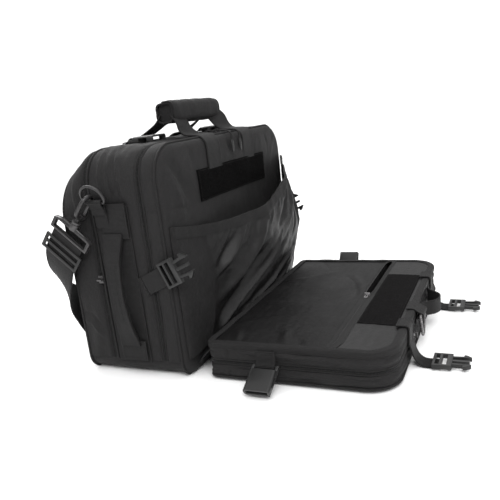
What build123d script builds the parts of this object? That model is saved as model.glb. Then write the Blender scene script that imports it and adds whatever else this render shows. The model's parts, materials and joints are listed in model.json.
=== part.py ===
from build123d import *
from math import cos, hypot, radians, sin
import os

# Flight bag: a soft briefcase-shaped main bag with a front pouch that folds down on a fabric hinge.
# Millimetres. The origin is the centre of the main bag's bottom face. +X is along the bag's width,
# +Y points to the back panel, +Z is up. The front pouch lies folded down in front of the bag.

# ---------------------------------------------------------------- main bag
BAG_WIDTH = 380.0
BAG_HEIGHT = 290.0
TOP_RADIUS = 42.0
BASE_RADIUS = 22.0
REAR_DROP = 22.0
REAR_TOP_RADIUS = 60.0
FRONT_FACE_Y = -80.0
FRONT_DEPTH = 30.0
MIDDLE_DEPTH = 70.0
REAR_DEPTH = 38.0
REAR_PANEL = 6.0
WALL = 3.0
SOFT_TOUCH = 0.3

# ---------------------------------------------------------------- zippers
ZIP_WIDTH = 8.0
ZIP_SINK = 1.0
TAPE = 1.2
COIL_WIDTH = 3.0
COIL_HEIGHT = 1.4
SLIDER_LENGTH = 10.0
SLIDER_WIDTH = 7.0
SLIDER_WALL = 1.2
SLIDER_GAP = 0.35
PULL_WIDTH = 6.0
PULL_THICK = 2.4
MAIN_SLIDER_X = (0.0, 26.0)

# ---------------------------------------------------------------- webbing and buckles
WEB_THICK = 2.0
STRAP_WIDTH = 25.0
HANDLE_WEB = 38.0
SIDE_WEB = 50.0
BUCKLE_RIM = 4.0
BUCKLE_THICK = 10.0
BUCKLE_SHELL = 30.0
BUCKLE_CAVITY = 5.4
BAR_RADIUS = 1.9
BAR_GAP = 0.4
SHELL_START = 6.5
LADDER_LENGTH = 18.0
LADDER_THICK = 5.6
PRONG_LENGTH = 21.0

# ---------------------------------------------------------------- front slip pocket
POCKET_INSET = 4.0
POCKET_CLOTH = 2.4
POCKET_FLOOR_Z = 34.0
FLATTEST_BULGE = 3.4
# Height as a share of the bag's, and how far the cloth stands off the front there.
POCKET_BULGE = [(0.117, 5.0), (0.31, 28.0), (0.552, 42.0), (0.931, 30.0)]
# Place across as a share of the pocket's half width, and the share of the bulge there.
POCKET_PROFILE = [(-0.70, 0.08), (-0.32, 0.55), (0.11, 0.95), (0.54, 1.0), (0.86, 0.75)]
# Place across as a share of the bag's half width, and the mouth's height as a share of the bag's.
MOUTH_LINE = [(-1.05, 0.669), (-0.58, 0.624), (-0.24, 0.617), (0.08, 0.631), (0.405, 0.703),
              (0.737, 0.769), (1.05, 0.814)]
BINDING_DEPTH = 14.0
BINDING = 1.2

# ---------------------------------------------------------------- loop patch and handle
PATCH_HALF = 106.0
PATCH_DROP = 39.0
PATCH_HEIGHT = 41.0
PATCH_THICK = 1.6
HANDLE_X = 57.0
GRIP_LENGTH = 138.0
GRIP_SIZE = 34.0
GRIP_Y = -20.0
GRIP_RISE = 36.0
PIVOT_RISE = 6.0
HANDLE_REAR_REACH = 40.0

# ---------------------------------------------------------------- side rings and shoulder strap
BLOCK_Y = -2.0
RING_Y = 9.5
RING_DROP = 60.0
BLOCK_TOP_DROP = 3.0
UPPER_BLOCK = 43.0
LOWER_BLOCK = 28.0
GRAB_BOW = 11.0
GRAB_THICK = 3.0
GRAB_END = 8.0
RING_INNER = 27.0
RING_STRAIGHT = 9.0
RING_WIRE = 1.8
RING_LEAN = 25.0
RING_STANDOFF = 5.0
RING_CORNER = 5.5
TAB_WEB = 1.6
HOOK_WIRE = 2.6
HOOK_LOOP = 9.0
HOOK_REACH = 30.0
HOOK_SLOPE = 50.0
GATE_WIRE = 2.0
SWIVEL_RADIUS = 6.0
SWIVEL_LENGTH = 9.0
LOOP_FRAME = 4.0
SHOULDER_WEB = 50.0
PAD_HALF = 125.0
PAD_WIDTH = 62.0
PAD_THICK = 10.0
PAD_Y = 92.0
PAD_Z = 33.0

# ---------------------------------------------------------------- front pouch, lying folded down
FLAP_GAP = 24.0
FLAP_LENGTH = 228.0
FLAP_INSET = 8.0
FLAP_THICK = 48.0
FLAP_END_RADIUS = 36.0
FLAP_HINGE_RADIUS = 10.0
FLAP_WALL = 2.5
FLAP_ZIP_Z = 20.0
FLAP_HINGE_Z = 34.5
WEBBING_GRID = 2.0
INNER_ZIP_TO_END = 70.0
INNER_ZIP_INSET = 12.0
MOUTH_GAP = 9.0
POCKET_BAG_DEPTH = 14.0
HOOK_STRIP_HALF = 100.0

# ---------------------------------------------------------------- straps that tie pouch and bag
TIE_X = 96.0
TOP_TAB_Y = 12.0
SIDE_STRAP_Y = -34.0
SIDE_STRAP_DROP = 168.0
SIDE_STRAP_RISE = 24.0
SIDE_STRAP_LENGTH = 45.0
HINGE_GAP = 0.8
FLAP_BUCKLE_FROM_HINGE = 79.0
FLAP_BUCKLE_DROP = 27.0
FLAP_BUCKLE_LIFT = 52.0

# ---------------------------------------------------------------- places worked out from the sizes
SIDE_X = BAG_WIDTH / 2
BUCKLE_WIDTH = STRAP_WIDTH + 2 * BUCKLE_RIM
REAR_HEIGHT = BAG_HEIGHT - REAR_DROP
POCKET_HALF = SIDE_X - POCKET_INSET
PATCH_Z = (BAG_HEIGHT - PATCH_DROP - PATCH_HEIGHT, BAG_HEIGHT - PATCH_DROP)
GRIP_Z = BAG_HEIGHT + GRIP_RISE
HANDLE_PIVOT_Z = BAG_HEIGHT + PIVOT_RISE
RING_Z = BAG_HEIGHT - RING_DROP
BLOCK_TOP_Z = RING_Z - BLOCK_TOP_DROP
FLAP_WIDTH = BAG_WIDTH - 2 * FLAP_INSET
INNER_ZIP_HALF = FLAP_WIDTH / 2 - INNER_ZIP_INSET
SIDE_STRAP_Z = BAG_HEIGHT - SIDE_STRAP_DROP
MAIN_ZIP_Y = FRONT_FACE_Y + FRONT_DEPTH
MIDDLE_Y = MAIN_ZIP_Y + ZIP_WIDTH
REAR_ZIP_Y = MIDDLE_Y + MIDDLE_DEPTH
REAR_Y = REAR_ZIP_Y + ZIP_WIDTH
REAR_PANEL_Y = REAR_Y + REAR_DEPTH
BACK_FACE_Y = REAR_PANEL_Y + REAR_PANEL
FLAP_START_Y = FRONT_FACE_Y - FLAP_GAP
FLAP_END_Y = FLAP_START_Y - FLAP_LENGTH
FLAP_SIDE_X = FLAP_WIDTH / 2
PANEL_BASE_Z = WEBBING_GRID
PANEL_TOP_Z = PANEL_BASE_Z + WALL
LINING_Z = FLAP_THICK - WALL
INNER_ZIP_Y = FLAP_END_Y + INNER_ZIP_TO_END


def block(x, y, z):
    """A box between two limits along each axis."""
    size = (x[1] - x[0], y[1] - y[0], z[1] - z[0])
    return Pos((x[0] + x[1]) / 2, (y[0] + y[1]) / 2, (z[0] + z[1]) / 2) * Box(*size)


def both_sides(shape):
    """The shape and its copy on the bag's other side."""
    return [shape, mirror(shape, about=Plane.YZ)]


def save(name, *shapes):
    """Write one node, made of one or more separate solids."""
    solids = []
    for shape in shapes:
        solids += list(shape.solids())
    node = solids[0] if len(solids) == 1 else Compound(children=solids)
    export_step(node, f"parts/{name}.step")


def fillet_long(shape, radius, axis):
    """Round the edges of a block that run along one axis."""
    return fillet(shape.edges().filter_by(axis), radius)


# ---------------------------------------------------------------- main bag shell

def bag_outline(y, height, top_radius, inset):
    """The bag's upright outline at one depth, moved in from the outside by inset."""
    plane = Plane(origin=(0, y, height / 2), x_dir=(1, 0, 0), z_dir=(0, -1, 0))
    face = plane * Rectangle(BAG_WIDTH - 2 * inset, height - 2 * inset)
    face = fillet(face.vertices().group_by(Axis.Z)[-1], top_radius - inset)
    return fillet(face.vertices().group_by(Axis.Z)[0], BASE_RADIUS - inset)


def bag_slab(y0, y1, inset, height=BAG_HEIGHT, top_radius=TOP_RADIUS):
    """A solid slice of the bag between two depths."""
    return extrude(bag_outline(y0, height, top_radius, inset), y1 - y0, dir=(0, 1, 0))


def bag_band(y0, y1, outer, inner):
    """The wall between two insets, all the way round the outline."""
    return bag_slab(y0, y1, outer) - bag_slab(y0, y1, inner)


ABOVE_TRAY = block((-BAG_WIDTH, BAG_WIDTH), (-200, 200), (BASE_RADIUS, 2 * BAG_HEIGHT))
BELOW_TRAY = block((-BAG_WIDTH, BAG_WIDTH), (-200, 200), (-10, BASE_RADIUS))


def front_panel():
    return bag_slab(FRONT_FACE_Y, FRONT_FACE_Y + WALL, 0)


def front_gusset():
    return bag_band(FRONT_FACE_Y + WALL, MAIN_ZIP_Y, 0, WALL) & ABOVE_TRAY


def middle_gusset():
    return bag_band(MIDDLE_Y, REAR_ZIP_Y, 0, WALL) & ABOVE_TRAY


def base_panel():
    return bag_band(FRONT_FACE_Y + WALL, REAR_PANEL_Y, 0, WALL) & BELOW_TRAY


def zipper(y0):
    """Zipper tape set a little into the seam, with its closed coil standing on the middle."""
    tape = bag_band(y0, y0 + ZIP_WIDTH, ZIP_SINK, ZIP_SINK + TAPE)
    middle = y0 + ZIP_WIDTH / 2
    coil = bag_band(middle - COIL_WIDTH / 2, middle + COIL_WIDTH / 2, ZIP_SINK - COIL_HEIGHT, ZIP_SINK)
    return (tape + coil) & ABOVE_TRAY


def rear_gusset():
    """The laptop compartment's band, which steps down from the main bag to the back panel."""
    outer = loft([bag_outline(REAR_Y, BAG_HEIGHT, TOP_RADIUS, 0),
                  bag_outline(REAR_PANEL_Y, REAR_HEIGHT, REAR_TOP_RADIUS, 0)], ruled=True)
    inner = loft([bag_outline(REAR_Y, BAG_HEIGHT, TOP_RADIUS, WALL),
                  bag_outline(REAR_PANEL_Y, REAR_HEIGHT, REAR_TOP_RADIUS, WALL)], ruled=True)
    return (outer - inner) & ABOVE_TRAY


def rear_panel():
    return bag_slab(REAR_PANEL_Y, BACK_FACE_Y, 0, REAR_HEIGHT, REAR_TOP_RADIUS)


def laptop_divider():
    """Padded wall between the main compartment and the laptop compartment."""
    return bag_slab(REAR_ZIP_Y - WALL, REAR_ZIP_Y, WALL)


# ---------------------------------------------------------------- front slip pocket

def pocket_section(z, bulge, shrink):
    """A plan-view slice of the pocket, from the front panel out to the bulging cloth."""
    half = POCKET_HALF - shrink
    points = [(-half, FRONT_FACE_Y)]
    for x, share in POCKET_PROFILE:
        points.append((x * half, FRONT_FACE_Y - max(bulge * share, FLATTEST_BULGE) + shrink))
    points.append((half, FRONT_FACE_Y))
    return Plane(origin=(0, 0, z)) * make_face(Polyline(*points, points[0]))


def pocket_bulk(shrink, floor):
    """The pocket's full volume, grown or shrunk from the cloth's outer face."""
    sections = []
    for height, bulge in POCKET_BULGE:
        level = max(height * BAG_HEIGHT, floor)
        sections.append(pocket_section(level, bulge, shrink))
    return loft(sections, ruled=True)


def below_mouth(drop):
    """Everything under the pocket's mouth line, lowered by drop."""
    points = [(x * SIDE_X, z * BAG_HEIGHT - drop) for x, z in MOUTH_LINE]
    edge = Spline(*points)
    right, left = points[-1][0], points[0][0]
    sides = Polyline(points[-1], (right, -10), (left, -10), points[0])
    face = Plane(origin=(0, 0, 0), x_dir=(1, 0, 0), z_dir=(0, -1, 0)) * make_face([edge, sides])
    return extrude(face, 200, dir=(0, -1, 0))


def slip_pocket():
    cloth = pocket_bulk(0, POCKET_FLOOR_Z) - pocket_bulk(POCKET_CLOTH, POCKET_FLOOR_Z + POCKET_CLOTH)
    return cloth & below_mouth(0)


def slip_pocket_binding():
    """Tape sewn over the pocket's mouth edge."""
    skin = pocket_bulk(-BINDING, POCKET_FLOOR_Z) - pocket_bulk(0, POCKET_FLOOR_Z)
    return (skin & below_mouth(0)) - below_mouth(BINDING_DEPTH)


def loop_patch():
    face_y = FRONT_FACE_Y
    return block((-PATCH_HALF, PATCH_HALF), (face_y - PATCH_THICK, face_y), PATCH_Z)


# ---------------------------------------------------------------- webbing ribbons

def ribbon(stations, width, thick=WEB_THICK):
    """A strap through stations of (centre, direction across its width, direction through it)."""
    faces = []
    for centre, across, through in stations:
        normal = Vector(*across).cross(Vector(*through))
        plane = Plane(origin=centre, x_dir=across, z_dir=(normal.X, normal.Y, normal.Z))
        faces.append(plane * Rectangle(width, thick))
    return loft(faces, ruled=True)


def unit(vector):
    size = hypot(*vector)
    return tuple(part / size for part in vector)


def side_profile_strap(points, width, centre_x, thick=WEB_THICK):
    """A strap whose centre line runs through (y, z) points and whose width is along X."""
    left, right = [], []
    for index, (y, z) in enumerate(points):
        ahead = points[min(index + 1, len(points) - 1)]
        behind = points[max(index - 1, 0)]
        into = unit((y - behind[0], z - behind[1])) if index else unit((ahead[0] - y, ahead[1] - z))
        out = unit((ahead[0] - y, ahead[1] - z)) if index < len(points) - 1 else into
        mid = unit((into[0] + out[0], into[1] + out[1]))
        stretch = thick / 2 / (mid[0] * into[0] + mid[1] * into[1])
        left.append((y - mid[1] * stretch, z + mid[0] * stretch))
        right.append((y + mid[1] * stretch, z - mid[0] * stretch))
    outline = Polyline(*left, *reversed(right), left[0])
    plane = Plane(origin=(centre_x - width / 2, 0, 0), x_dir=(0, 1, 0), z_dir=(1, 0, 0))
    return extrude(plane * make_face(outline), width, dir=(1, 0, 0))


# ---------------------------------------------------------------- carrying handle

def handle_front_strap():
    """Two legs sewn up the front panel from the patch, then free up to the grip."""
    face = FRONT_FACE_Y - WEB_THICK / 2
    top = BAG_HEIGHT + WEB_THICK / 2
    grip_front = GRIP_Y - GRIP_SIZE / 2 - SOFT_TOUCH - WEB_THICK / 2
    grip_low = GRIP_Z - GRIP_SIZE / 4
    path = [(face, PATCH_Z[1]), (face, top), (FRONT_FACE_Y + 14, top + 1), (MAIN_ZIP_Y, top + 8),
            (grip_front, grip_low)]
    return both_sides(side_profile_strap(path, HANDLE_WEB, HANDLE_X))


def handle_rear_strap():
    """Two legs sewn over the laptop compartment from the back panel, then free up to the grip."""
    face = BACK_FACE_Y + WEB_THICK / 2
    panel_top = REAR_HEIGHT + WEB_THICK / 2
    grip_rear = GRIP_Y + GRIP_SIZE / 2 + SOFT_TOUCH + WEB_THICK / 2
    grip_low = GRIP_Z - GRIP_SIZE / 4
    path = [(face, REAR_HEIGHT - HANDLE_REAR_REACH), (face, panel_top), (REAR_PANEL_Y, panel_top + 1),
            (REAR_Y, BAG_HEIGHT + 4), (REAR_ZIP_Y - 4, BAG_HEIGHT + 6), (grip_rear, grip_low)]
    return both_sides(side_profile_strap(path, HANDLE_WEB, HANDLE_X))


def handle_wrap():
    """Padded grip that is wrapped round both straps."""
    half = GRIP_SIZE / 2
    grip = block((-GRIP_LENGTH / 2, GRIP_LENGTH / 2), (GRIP_Y - half, GRIP_Y + half),
                 (GRIP_Z - half, GRIP_Z + half))
    return fillet_long(grip, half * 0.7, Axis.X)


# ---------------------------------------------------------------- side release buckles

def place(shape, origin, along, up):
    """Put a buckle whose own +X runs along the strap and +Z through it into the bag's frame."""
    return Plane(origin=origin, x_dir=along, z_dir=up).location * shape


def female_buckle():
    """Socket half: a hollow shell with side windows, and a bar for its webbing at the origin."""
    half = BUCKLE_WIDTH / 2
    end = SHELL_START + BUCKLE_SHELL
    shell = block((SHELL_START, end), (-half, half), (-BUCKLE_THICK / 2, BUCKLE_THICK / 2))
    shell = fillet_long(shell, BUCKLE_THICK * 0.35, Axis.X)
    cavity_half = half - 3
    cavity = block((SHELL_START + 3, end + 1), (-cavity_half, cavity_half),
                   (-BUCKLE_CAVITY / 2, BUCKLE_CAVITY / 2))
    window = block((SHELL_START + 8, end - 9), (-half - 1, half + 1), (-BUCKLE_CAVITY / 2, BUCKLE_CAVITY / 2))
    shell = shell - cavity - window
    arm = block((-BAR_RADIUS, SHELL_START), (half - 3, half), (-BAR_RADIUS, BAR_RADIUS))
    bar = Rot(90, 0, 0) * Cylinder(BAR_RADIUS, BUCKLE_WIDTH)
    return shell + arm + mirror(arm, about=Plane.XZ) + bar


def tab_loop(length):
    """Webbing folded round a female buckle's bar, with its sewn tail running back from it."""
    inner = BAR_RADIUS + BAR_GAP
    outer = inner + WEB_THICK * 0.75
    width = STRAP_WIDTH
    ring = Rot(90, 0, 0) * (Cylinder(outer, width) - Cylinder(inner, width + 1))
    tail = block((-length, 0), (-width / 2, width / 2), (-outer, -inner))
    return ring + tail


def male_buckle():
    """Plug half: a ladder frame for the webbing at the origin, a guide and two sprung prongs."""
    half = BUCKLE_WIDTH / 2
    front = LADDER_LENGTH / 2
    frame = block((-front, front + 4), (-half, half), (-LADDER_THICK / 2, LADDER_THICK / 2))
    for x0, x1 in ((-front + 3, -1.5), (1.5, front - 2)):
        frame -= block((x0, x1), (-STRAP_WIDTH / 2 - 1, STRAP_WIDTH / 2 + 1), (-9, 9))
    start = front + 4
    guide = block((start, start + PRONG_LENGTH * 0.9), (-2, 2), (-2, 2))
    tip = start + PRONG_LENGTH
    inner, outer = half - 9, half - 4.5
    outline = Polyline((start, inner), (tip - 8, inner + 1), (tip, inner + 1), (tip, inner + 3),
                       (tip - 6, half - 0.5), (tip - 9, half - 0.5), (tip - 9, outer), (start, outer - 1),
                       (start, inner))
    prong = extrude(make_face(outline), 4.6)
    prong = Pos(0, 0, -2.3) * prong
    return frame + guide + prong + mirror(prong, about=Plane.XZ)


def laced_strap(length):
    """Webbing that runs under a male buckle's ladder, back to its anchor."""
    low = -LADDER_THICK / 2 - WEB_THICK
    return block((-length, LADDER_LENGTH / 2 - 3), (-STRAP_WIDTH / 2, STRAP_WIDTH / 2),
                 (low, low + WEB_THICK))


# ---------------------------------------------------------------- top, side and pouch ties

TOP_BUCKLE_Z = BAG_HEIGHT + BAR_RADIUS + BAR_GAP + WEB_THICK * 0.75 + 1.6


def top_buckle():
    origin = (-TIE_X, TOP_TAB_Y, TOP_BUCKLE_Z)
    return place(female_buckle(), origin, (0, -1, 0), (0, 0, 1))


def top_tab():
    """Folded tab that ties a top buckle to the middle gusset."""
    origin = (-TIE_X, TOP_TAB_Y, TOP_BUCKLE_Z)
    loop = place(tab_loop(13), origin, (0, -1, 0), (0, 0, 1))
    foot = block((-TIE_X - STRAP_WIDTH / 2, -TIE_X + STRAP_WIDTH / 2), (TOP_TAB_Y + 4, TOP_TAB_Y + 13),
                 (BAG_HEIGHT, TOP_BUCKLE_Z - BAR_RADIUS - BAR_GAP))
    return loop + foot


SIDE_STRAP_X = -(SIDE_X + 1.0 + WEB_THICK + LADDER_THICK / 2)
RISE = radians(SIDE_STRAP_RISE)
SIDE_ALONG = (0.0, -cos(RISE), sin(RISE))


def side_strap_origin():
    reach = SIDE_STRAP_LENGTH
    return (SIDE_STRAP_X, SIDE_STRAP_Y - reach * cos(RISE), SIDE_STRAP_Z + reach * sin(RISE))


def side_buckle():
    return place(male_buckle(), side_strap_origin(), SIDE_ALONG, (-1, 0, 0))


def side_strap():
    return place(laced_strap(SIDE_STRAP_LENGTH - 2), side_strap_origin(), SIDE_ALONG, (-1, 0, 0))


def side_strap_anchor():
    """Sewn end of the side strap, let into the seam beside the main zipper."""
    low = -LADDER_THICK / 2 - WEB_THICK
    end = -SIDE_STRAP_LENGTH + 2 - HINGE_GAP
    tail = block((end - 12, end), (-STRAP_WIDTH / 2, STRAP_WIDTH / 2), (low - 1.0, low + WEB_THICK))
    return place(tail, side_strap_origin(), SIDE_ALONG, (-1, 0, 0))


FLAP_TAB_X = -(FLAP_SIDE_X + WEB_THICK + 3.2)
FLAP_TAB_Y = FLAP_START_Y - FLAP_BUCKLE_FROM_HINGE
FLAP_TAB_Z = 25.0
DROP = radians(FLAP_BUCKLE_DROP)


def flap_buckle_left():
    """Hangs outward from the pouch's side and rests on the ground."""
    along = (-cos(DROP), 0, -sin(DROP))
    up = (-sin(DROP), 0, cos(DROP))
    return place(female_buckle(), (FLAP_TAB_X, FLAP_TAB_Y, FLAP_TAB_Z), along, up)


def flap_buckle_right():
    """Stands up beside the pouch."""
    lean = radians(FLAP_BUCKLE_LIFT)
    along = (cos(lean), 0, sin(lean))
    up = (-sin(lean), 0, cos(lean))
    return place(female_buckle(), (-FLAP_TAB_X, FLAP_TAB_Y, FLAP_TAB_Z), along, up)


def flap_side_tab():
    """Folded tab on the pouch's side, holding a female buckle by its bar."""
    origin = (FLAP_TAB_X, FLAP_TAB_Y, FLAP_TAB_Z)
    loop = place(tab_loop(16), origin, (0, 0, -1), (-1, 0, 0))
    gap = -FLAP_SIDE_X - (FLAP_TAB_X + BAR_RADIUS + BAR_GAP + WEB_THICK * 0.75)
    foot = block((-FLAP_SIDE_X - gap, -FLAP_SIDE_X),
                 (FLAP_TAB_Y - STRAP_WIDTH / 2, FLAP_TAB_Y + STRAP_WIDTH / 2),
                 (FLAP_TAB_Z + 6, FLAP_TAB_Z + 16))
    return loop + foot


# ---------------------------------------------------------------- zipper sliders

def slider():
    """Runs along X. The coil's top is at z = 0: a bridge spans it, with a bow for the pull on top."""
    outer_half = SLIDER_WIDTH / 2
    roof = block((-SLIDER_LENGTH / 2, SLIDER_LENGTH / 2), (-outer_half, outer_half),
                 (SLIDER_GAP, SLIDER_GAP + SLIDER_WALL))
    skirt = block((-SLIDER_LENGTH / 2, SLIDER_LENGTH / 2), (outer_half - SLIDER_WALL, outer_half),
                  (-COIL_HEIGHT * 0.6, SLIDER_GAP))
    base = SLIDER_GAP + SLIDER_WALL
    bow = block((-1.1, 1.1), (-outer_half, outer_half), (base, base + 4.2))
    bow -= block((-2, 2), (-outer_half + 1.3, outer_half - 1.3), (base - 1, base + 3))
    return roof + skirt + mirror(skirt, about=Plane.XZ) + bow


def main_slider(x):
    return Pos(x, MAIN_ZIP_Y + ZIP_WIDTH / 2, BAG_HEIGHT - ZIP_SINK + COIL_HEIGHT) * slider()


MAIN_PULL_Z = BAG_HEIGHT - ZIP_SINK + COIL_HEIGHT + SLIDER_GAP + SLIDER_WALL + 1.8


def main_pull(x):
    """A cord loop through the slider's bow, with a moulded end that hangs over the front edge."""
    middle = MAIN_ZIP_Y + ZIP_WIDTH / 2
    half = PULL_WIDTH / 2
    low, high = MAIN_PULL_Z - PULL_THICK / 2, MAIN_PULL_Z + PULL_THICK / 2
    face = FRONT_FACE_Y - 1.2
    cords = block((x + half - 1.6, x + half), (face - PULL_THICK, middle + 0.9), (low, high))
    cords += block((x - half, x - half + 1.6), (face - PULL_THICK, middle + 0.9), (low, high))
    cords += block((x - half, x + half), (middle - 0.9, middle + 0.9), (low + 0.4, high - 0.4))
    cords += block((x - half, x + half), (face - PULL_THICK, face + 6), (low, high))
    end = block((x - half, x + half), (face - PULL_THICK - 0.8, face), (BAG_HEIGHT - 26, high))
    return cords + end


# ---------------------------------------------------------------- side webbing, handles and rings

def side_webbing():
    """Wide webbing sewn up the middle gusset, in two stitched blocks with the grab handle between."""
    half = SIDE_WEB / 2
    x_range, y_range = (-SIDE_X - 2 * WEB_THICK, -SIDE_X), (BLOCK_Y - half, BLOCK_Y + half)
    upper = block(x_range, y_range, (BLOCK_TOP_Z - UPPER_BLOCK, BLOCK_TOP_Z))
    lower = block(x_range, y_range, (BASE_RADIUS, BASE_RADIUS + LOWER_BLOCK))
    return upper, lower


def side_grab_handle():
    """Webbing folded to half its width and bowed out between the two stitched blocks."""
    face = -SIDE_X - WEB_THICK * 2
    near = face - GRAB_THICK / 2
    high = BLOCK_TOP_Z - UPPER_BLOCK
    low = BASE_RADIUS + LOWER_BLOCK
    stations = []
    for share, bow in ((0, 0), (0.1, 0.36), (0.3, 0.82), (0.5, 1), (0.7, 0.82), (0.9, 0.36), (1, 0)):
        centre = (near - bow * GRAB_BOW, BLOCK_Y, high + (low - high) * share)
        stations.append((centre, (0, 1, 0), (1, 0, 0)))
    strap = ribbon(stations, SIDE_WEB / 2, GRAB_THICK)
    x_range, y_range = (face - GRAB_THICK, face), (BLOCK_Y - SIDE_WEB / 4, BLOCK_Y + SIDE_WEB / 4)
    sewn_high = block(x_range, y_range, (high, high + GRAB_END))
    sewn_low = block(x_range, y_range, (low - GRAB_END, low))
    return strap + sewn_high + sewn_low


RING_X = -(SIDE_X + 2 * WEB_THICK + RING_WIRE + BAR_GAP + TAB_WEB + RING_STANDOFF)


def d_ring():
    """Wire ring with a straight bar in the webbing tab and a round top that leans outward."""
    half = RING_INNER / 2 + RING_WIRE
    legs = FilletPolyline((0, 0), (half, 0), (half, RING_STRAIGHT), radius=RING_CORNER)
    crown = RING_STRAIGHT + half
    top = RadiusArc((half, RING_STRAIGHT), (0, crown), -half)
    wire = Wire([*legs.edges(), *top.edges()])
    side = sweep(Plane(origin=(0, 0, 0), z_dir=(1, 0, 0)) * Circle(RING_WIRE), path=wire)
    lean = radians(RING_LEAN)
    plane = Plane(origin=(RING_X, RING_Y, RING_Z), x_dir=(0, -1, 0), z_dir=(-cos(lean), 0, -sin(lean)))
    return plane.location * (side + mirror(side, about=Plane.YZ))


def ring_tab():
    """Webbing folded round the ring's bar and sewn to the top of the side webbing."""
    inner = RING_WIRE + BAR_GAP
    outer = inner + TAB_WEB
    width = RING_INNER + 2 * (RING_WIRE - RING_CORNER - SOFT_TOUCH)
    loop = Rot(90, 0, 0) * (Cylinder(outer, width) - Cylinder(inner, width + 1))
    tail = block((inner, outer + RING_STANDOFF), (-width / 2, width / 2), (-30, -inner))
    bridge = block((inner, outer), (-width / 2, width / 2), (-inner, 0))
    return Pos(RING_X, RING_Y, RING_Z) * (loop + tail + bridge)


# The snap hook hangs back and down from the ring along this direction.
SLOPE = radians(HOOK_SLOPE)
HOOK_DOWN = (0.0, cos(SLOPE), -sin(SLOPE))
HOOK_ACROSS = (0.0, sin(SLOPE), cos(SLOPE))
# It goes round the middle of the ring's lower rear corner.
CORNER_SHARE = 1 - cos(radians(45))
CORNER_IN = RING_CORNER * CORNER_SHARE
HOOK_GRIP = (RING_X - CORNER_IN * sin(radians(RING_LEAN)),
             RING_Y + RING_INNER / 2 + RING_WIRE - CORNER_IN,
             RING_Z + CORNER_IN * cos(radians(RING_LEAN)))


def hook_frame(shape):
    """Own +X runs from the grip point down to the strap bar, +Z points out from the bag."""
    return place(shape, HOOK_GRIP, HOOK_DOWN, (-1, 0, 0))


def snap_hook():
    """Round wire hook: neck, straight spine outside, half turn through the ring, short nose inside."""
    neck = HOOK_REACH
    path = Wire([*FilletPolyline((neck + 2, 0, 0), (neck - 6, 0, 0), (neck - 14, 0, HOOK_LOOP),
                                 (0, 0, HOOK_LOOP), radius=5).edges(),
                 *ThreePointArc((0, 0, HOOK_LOOP), (-HOOK_LOOP, 0, 0), (0, 0, -HOOK_LOOP)).edges(),
                 *Line((0, 0, -HOOK_LOOP), (3, 0, -HOOK_LOOP)).edges()])
    section = Plane(origin=(neck + 2, 0, 0), z_dir=(-1, 0, 0)) * Circle(HOOK_WIRE)
    wire = sweep(section, path=path)
    lug = block((neck - 8, neck - 1), (-2.6, 2.6), (-HOOK_LOOP - 1.5, 0))
    stem = Pos(neck + 2 + SWIVEL_LENGTH / 2 + 1, 0, 0) * Rot(0, 90, 0) * Cylinder(2.0, SWIVEL_LENGTH + 2)
    head = Pos(neck + 1, 0, 0) * Rot(0, 90, 0) * Cylinder(SWIVEL_RADIUS - 0.5, 3)
    lug -= block((neck - 14, neck - 4.2), (-GATE_WIRE - 0.35, GATE_WIRE + 0.35), (-20, -HOOK_LOOP + 3.2))
    return hook_frame(wire + lug + stem + head)


GATE_PIVOT = (HOOK_REACH - 6.5, 0.0, -HOOK_LOOP)


def hook_gate():
    """Sprung bar that closes the hook between its lug and its nose."""
    start = 3.6
    length = GATE_PIVOT[0] - start
    bar = Pos(start + length / 2, 0, -HOOK_LOOP) * Rot(0, 90, 0) * Cylinder(GATE_WIRE, length)
    return hook_frame(bar)


def swivel_base():
    """Collar that the hook's stem turns in, with the wide loop that the shoulder strap passes through."""
    start = HOOK_REACH + 3
    bore = 2.0 + 0.1
    collar = Pos(start + SWIVEL_LENGTH / 2, 0, 0) * Rot(0, 90, 0) * Cylinder(SWIVEL_RADIUS, SWIVEL_LENGTH)
    half = SHOULDER_WEB / 2 + 1 + LOOP_FRAME
    loop_start = start + SWIVEL_LENGTH - 4
    loop_end = loop_start + 21
    frame = block((loop_start, loop_end), (-half, half), (-3, 3))
    frame = fillet_long(frame, 2.5, Axis.Y)
    frame -= block((loop_start + 5.5, loop_end - LOOP_FRAME), (-half + LOOP_FRAME, half - LOOP_FRAME), (-9, 9))
    corner = Polyline((loop_start - 1, -half - 1), (loop_start + 5, -half - 1), (loop_start - 1, -12),
                      (loop_start - 1, -half - 1))
    wedge = Pos(0, 0, -9) * extrude(make_face(corner), 18)
    base = frame - wedge - mirror(wedge, about=Plane.XZ) + collar
    hole = Pos(start + SWIVEL_LENGTH / 2, 0, 0) * Rot(0, 90, 0) * Cylinder(bore, SWIVEL_LENGTH + 4)
    return hook_frame(base - hole)


# ---------------------------------------------------------------- shoulder strap

STRAP_BAR_REACH = HOOK_REACH + 3 + SWIVEL_LENGTH - 4 + 21 - LOOP_FRAME / 2


def strap_point(reach):
    """A point on the hook's centre line, that far below the grip point."""
    return tuple(HOOK_GRIP[i] + HOOK_DOWN[i] * reach for i in range(3))


def shoulder_strap():
    """Webbing from one swivel, down behind the bag, under the pad and up to the other swivel."""
    out = (1, 0, 0)
    start = strap_point(STRAP_BAR_REACH + LOOP_FRAME / 2 + 0.2)
    bend = strap_point(STRAP_BAR_REACH + 34)
    back = BACK_FACE_Y
    left = [(start, HOOK_ACROSS, out), (bend, HOOK_ACROSS, out),
            ((-SIDE_X + 6, back + 20, BAG_HEIGHT * 0.386), (0.35, 0.60, 0.72), (0.90, -0.40, -0.10)),
            ((-SIDE_X + 34, back + 16, BAG_HEIGHT * 0.255), (0.45, 0.10, 0.88), (0.40, -0.90, -0.10)),
            ((-PAD_HALF - 16, PAD_Y, PAD_Z + 6), (0.25, 0, 0.97), (0, -1, 0)),
            ((-PAD_HALF, PAD_Y, PAD_Z), (0, 0, 1), (0, -1, 0))]
    return both_sides(ribbon(left, SHOULDER_WEB))


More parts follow.
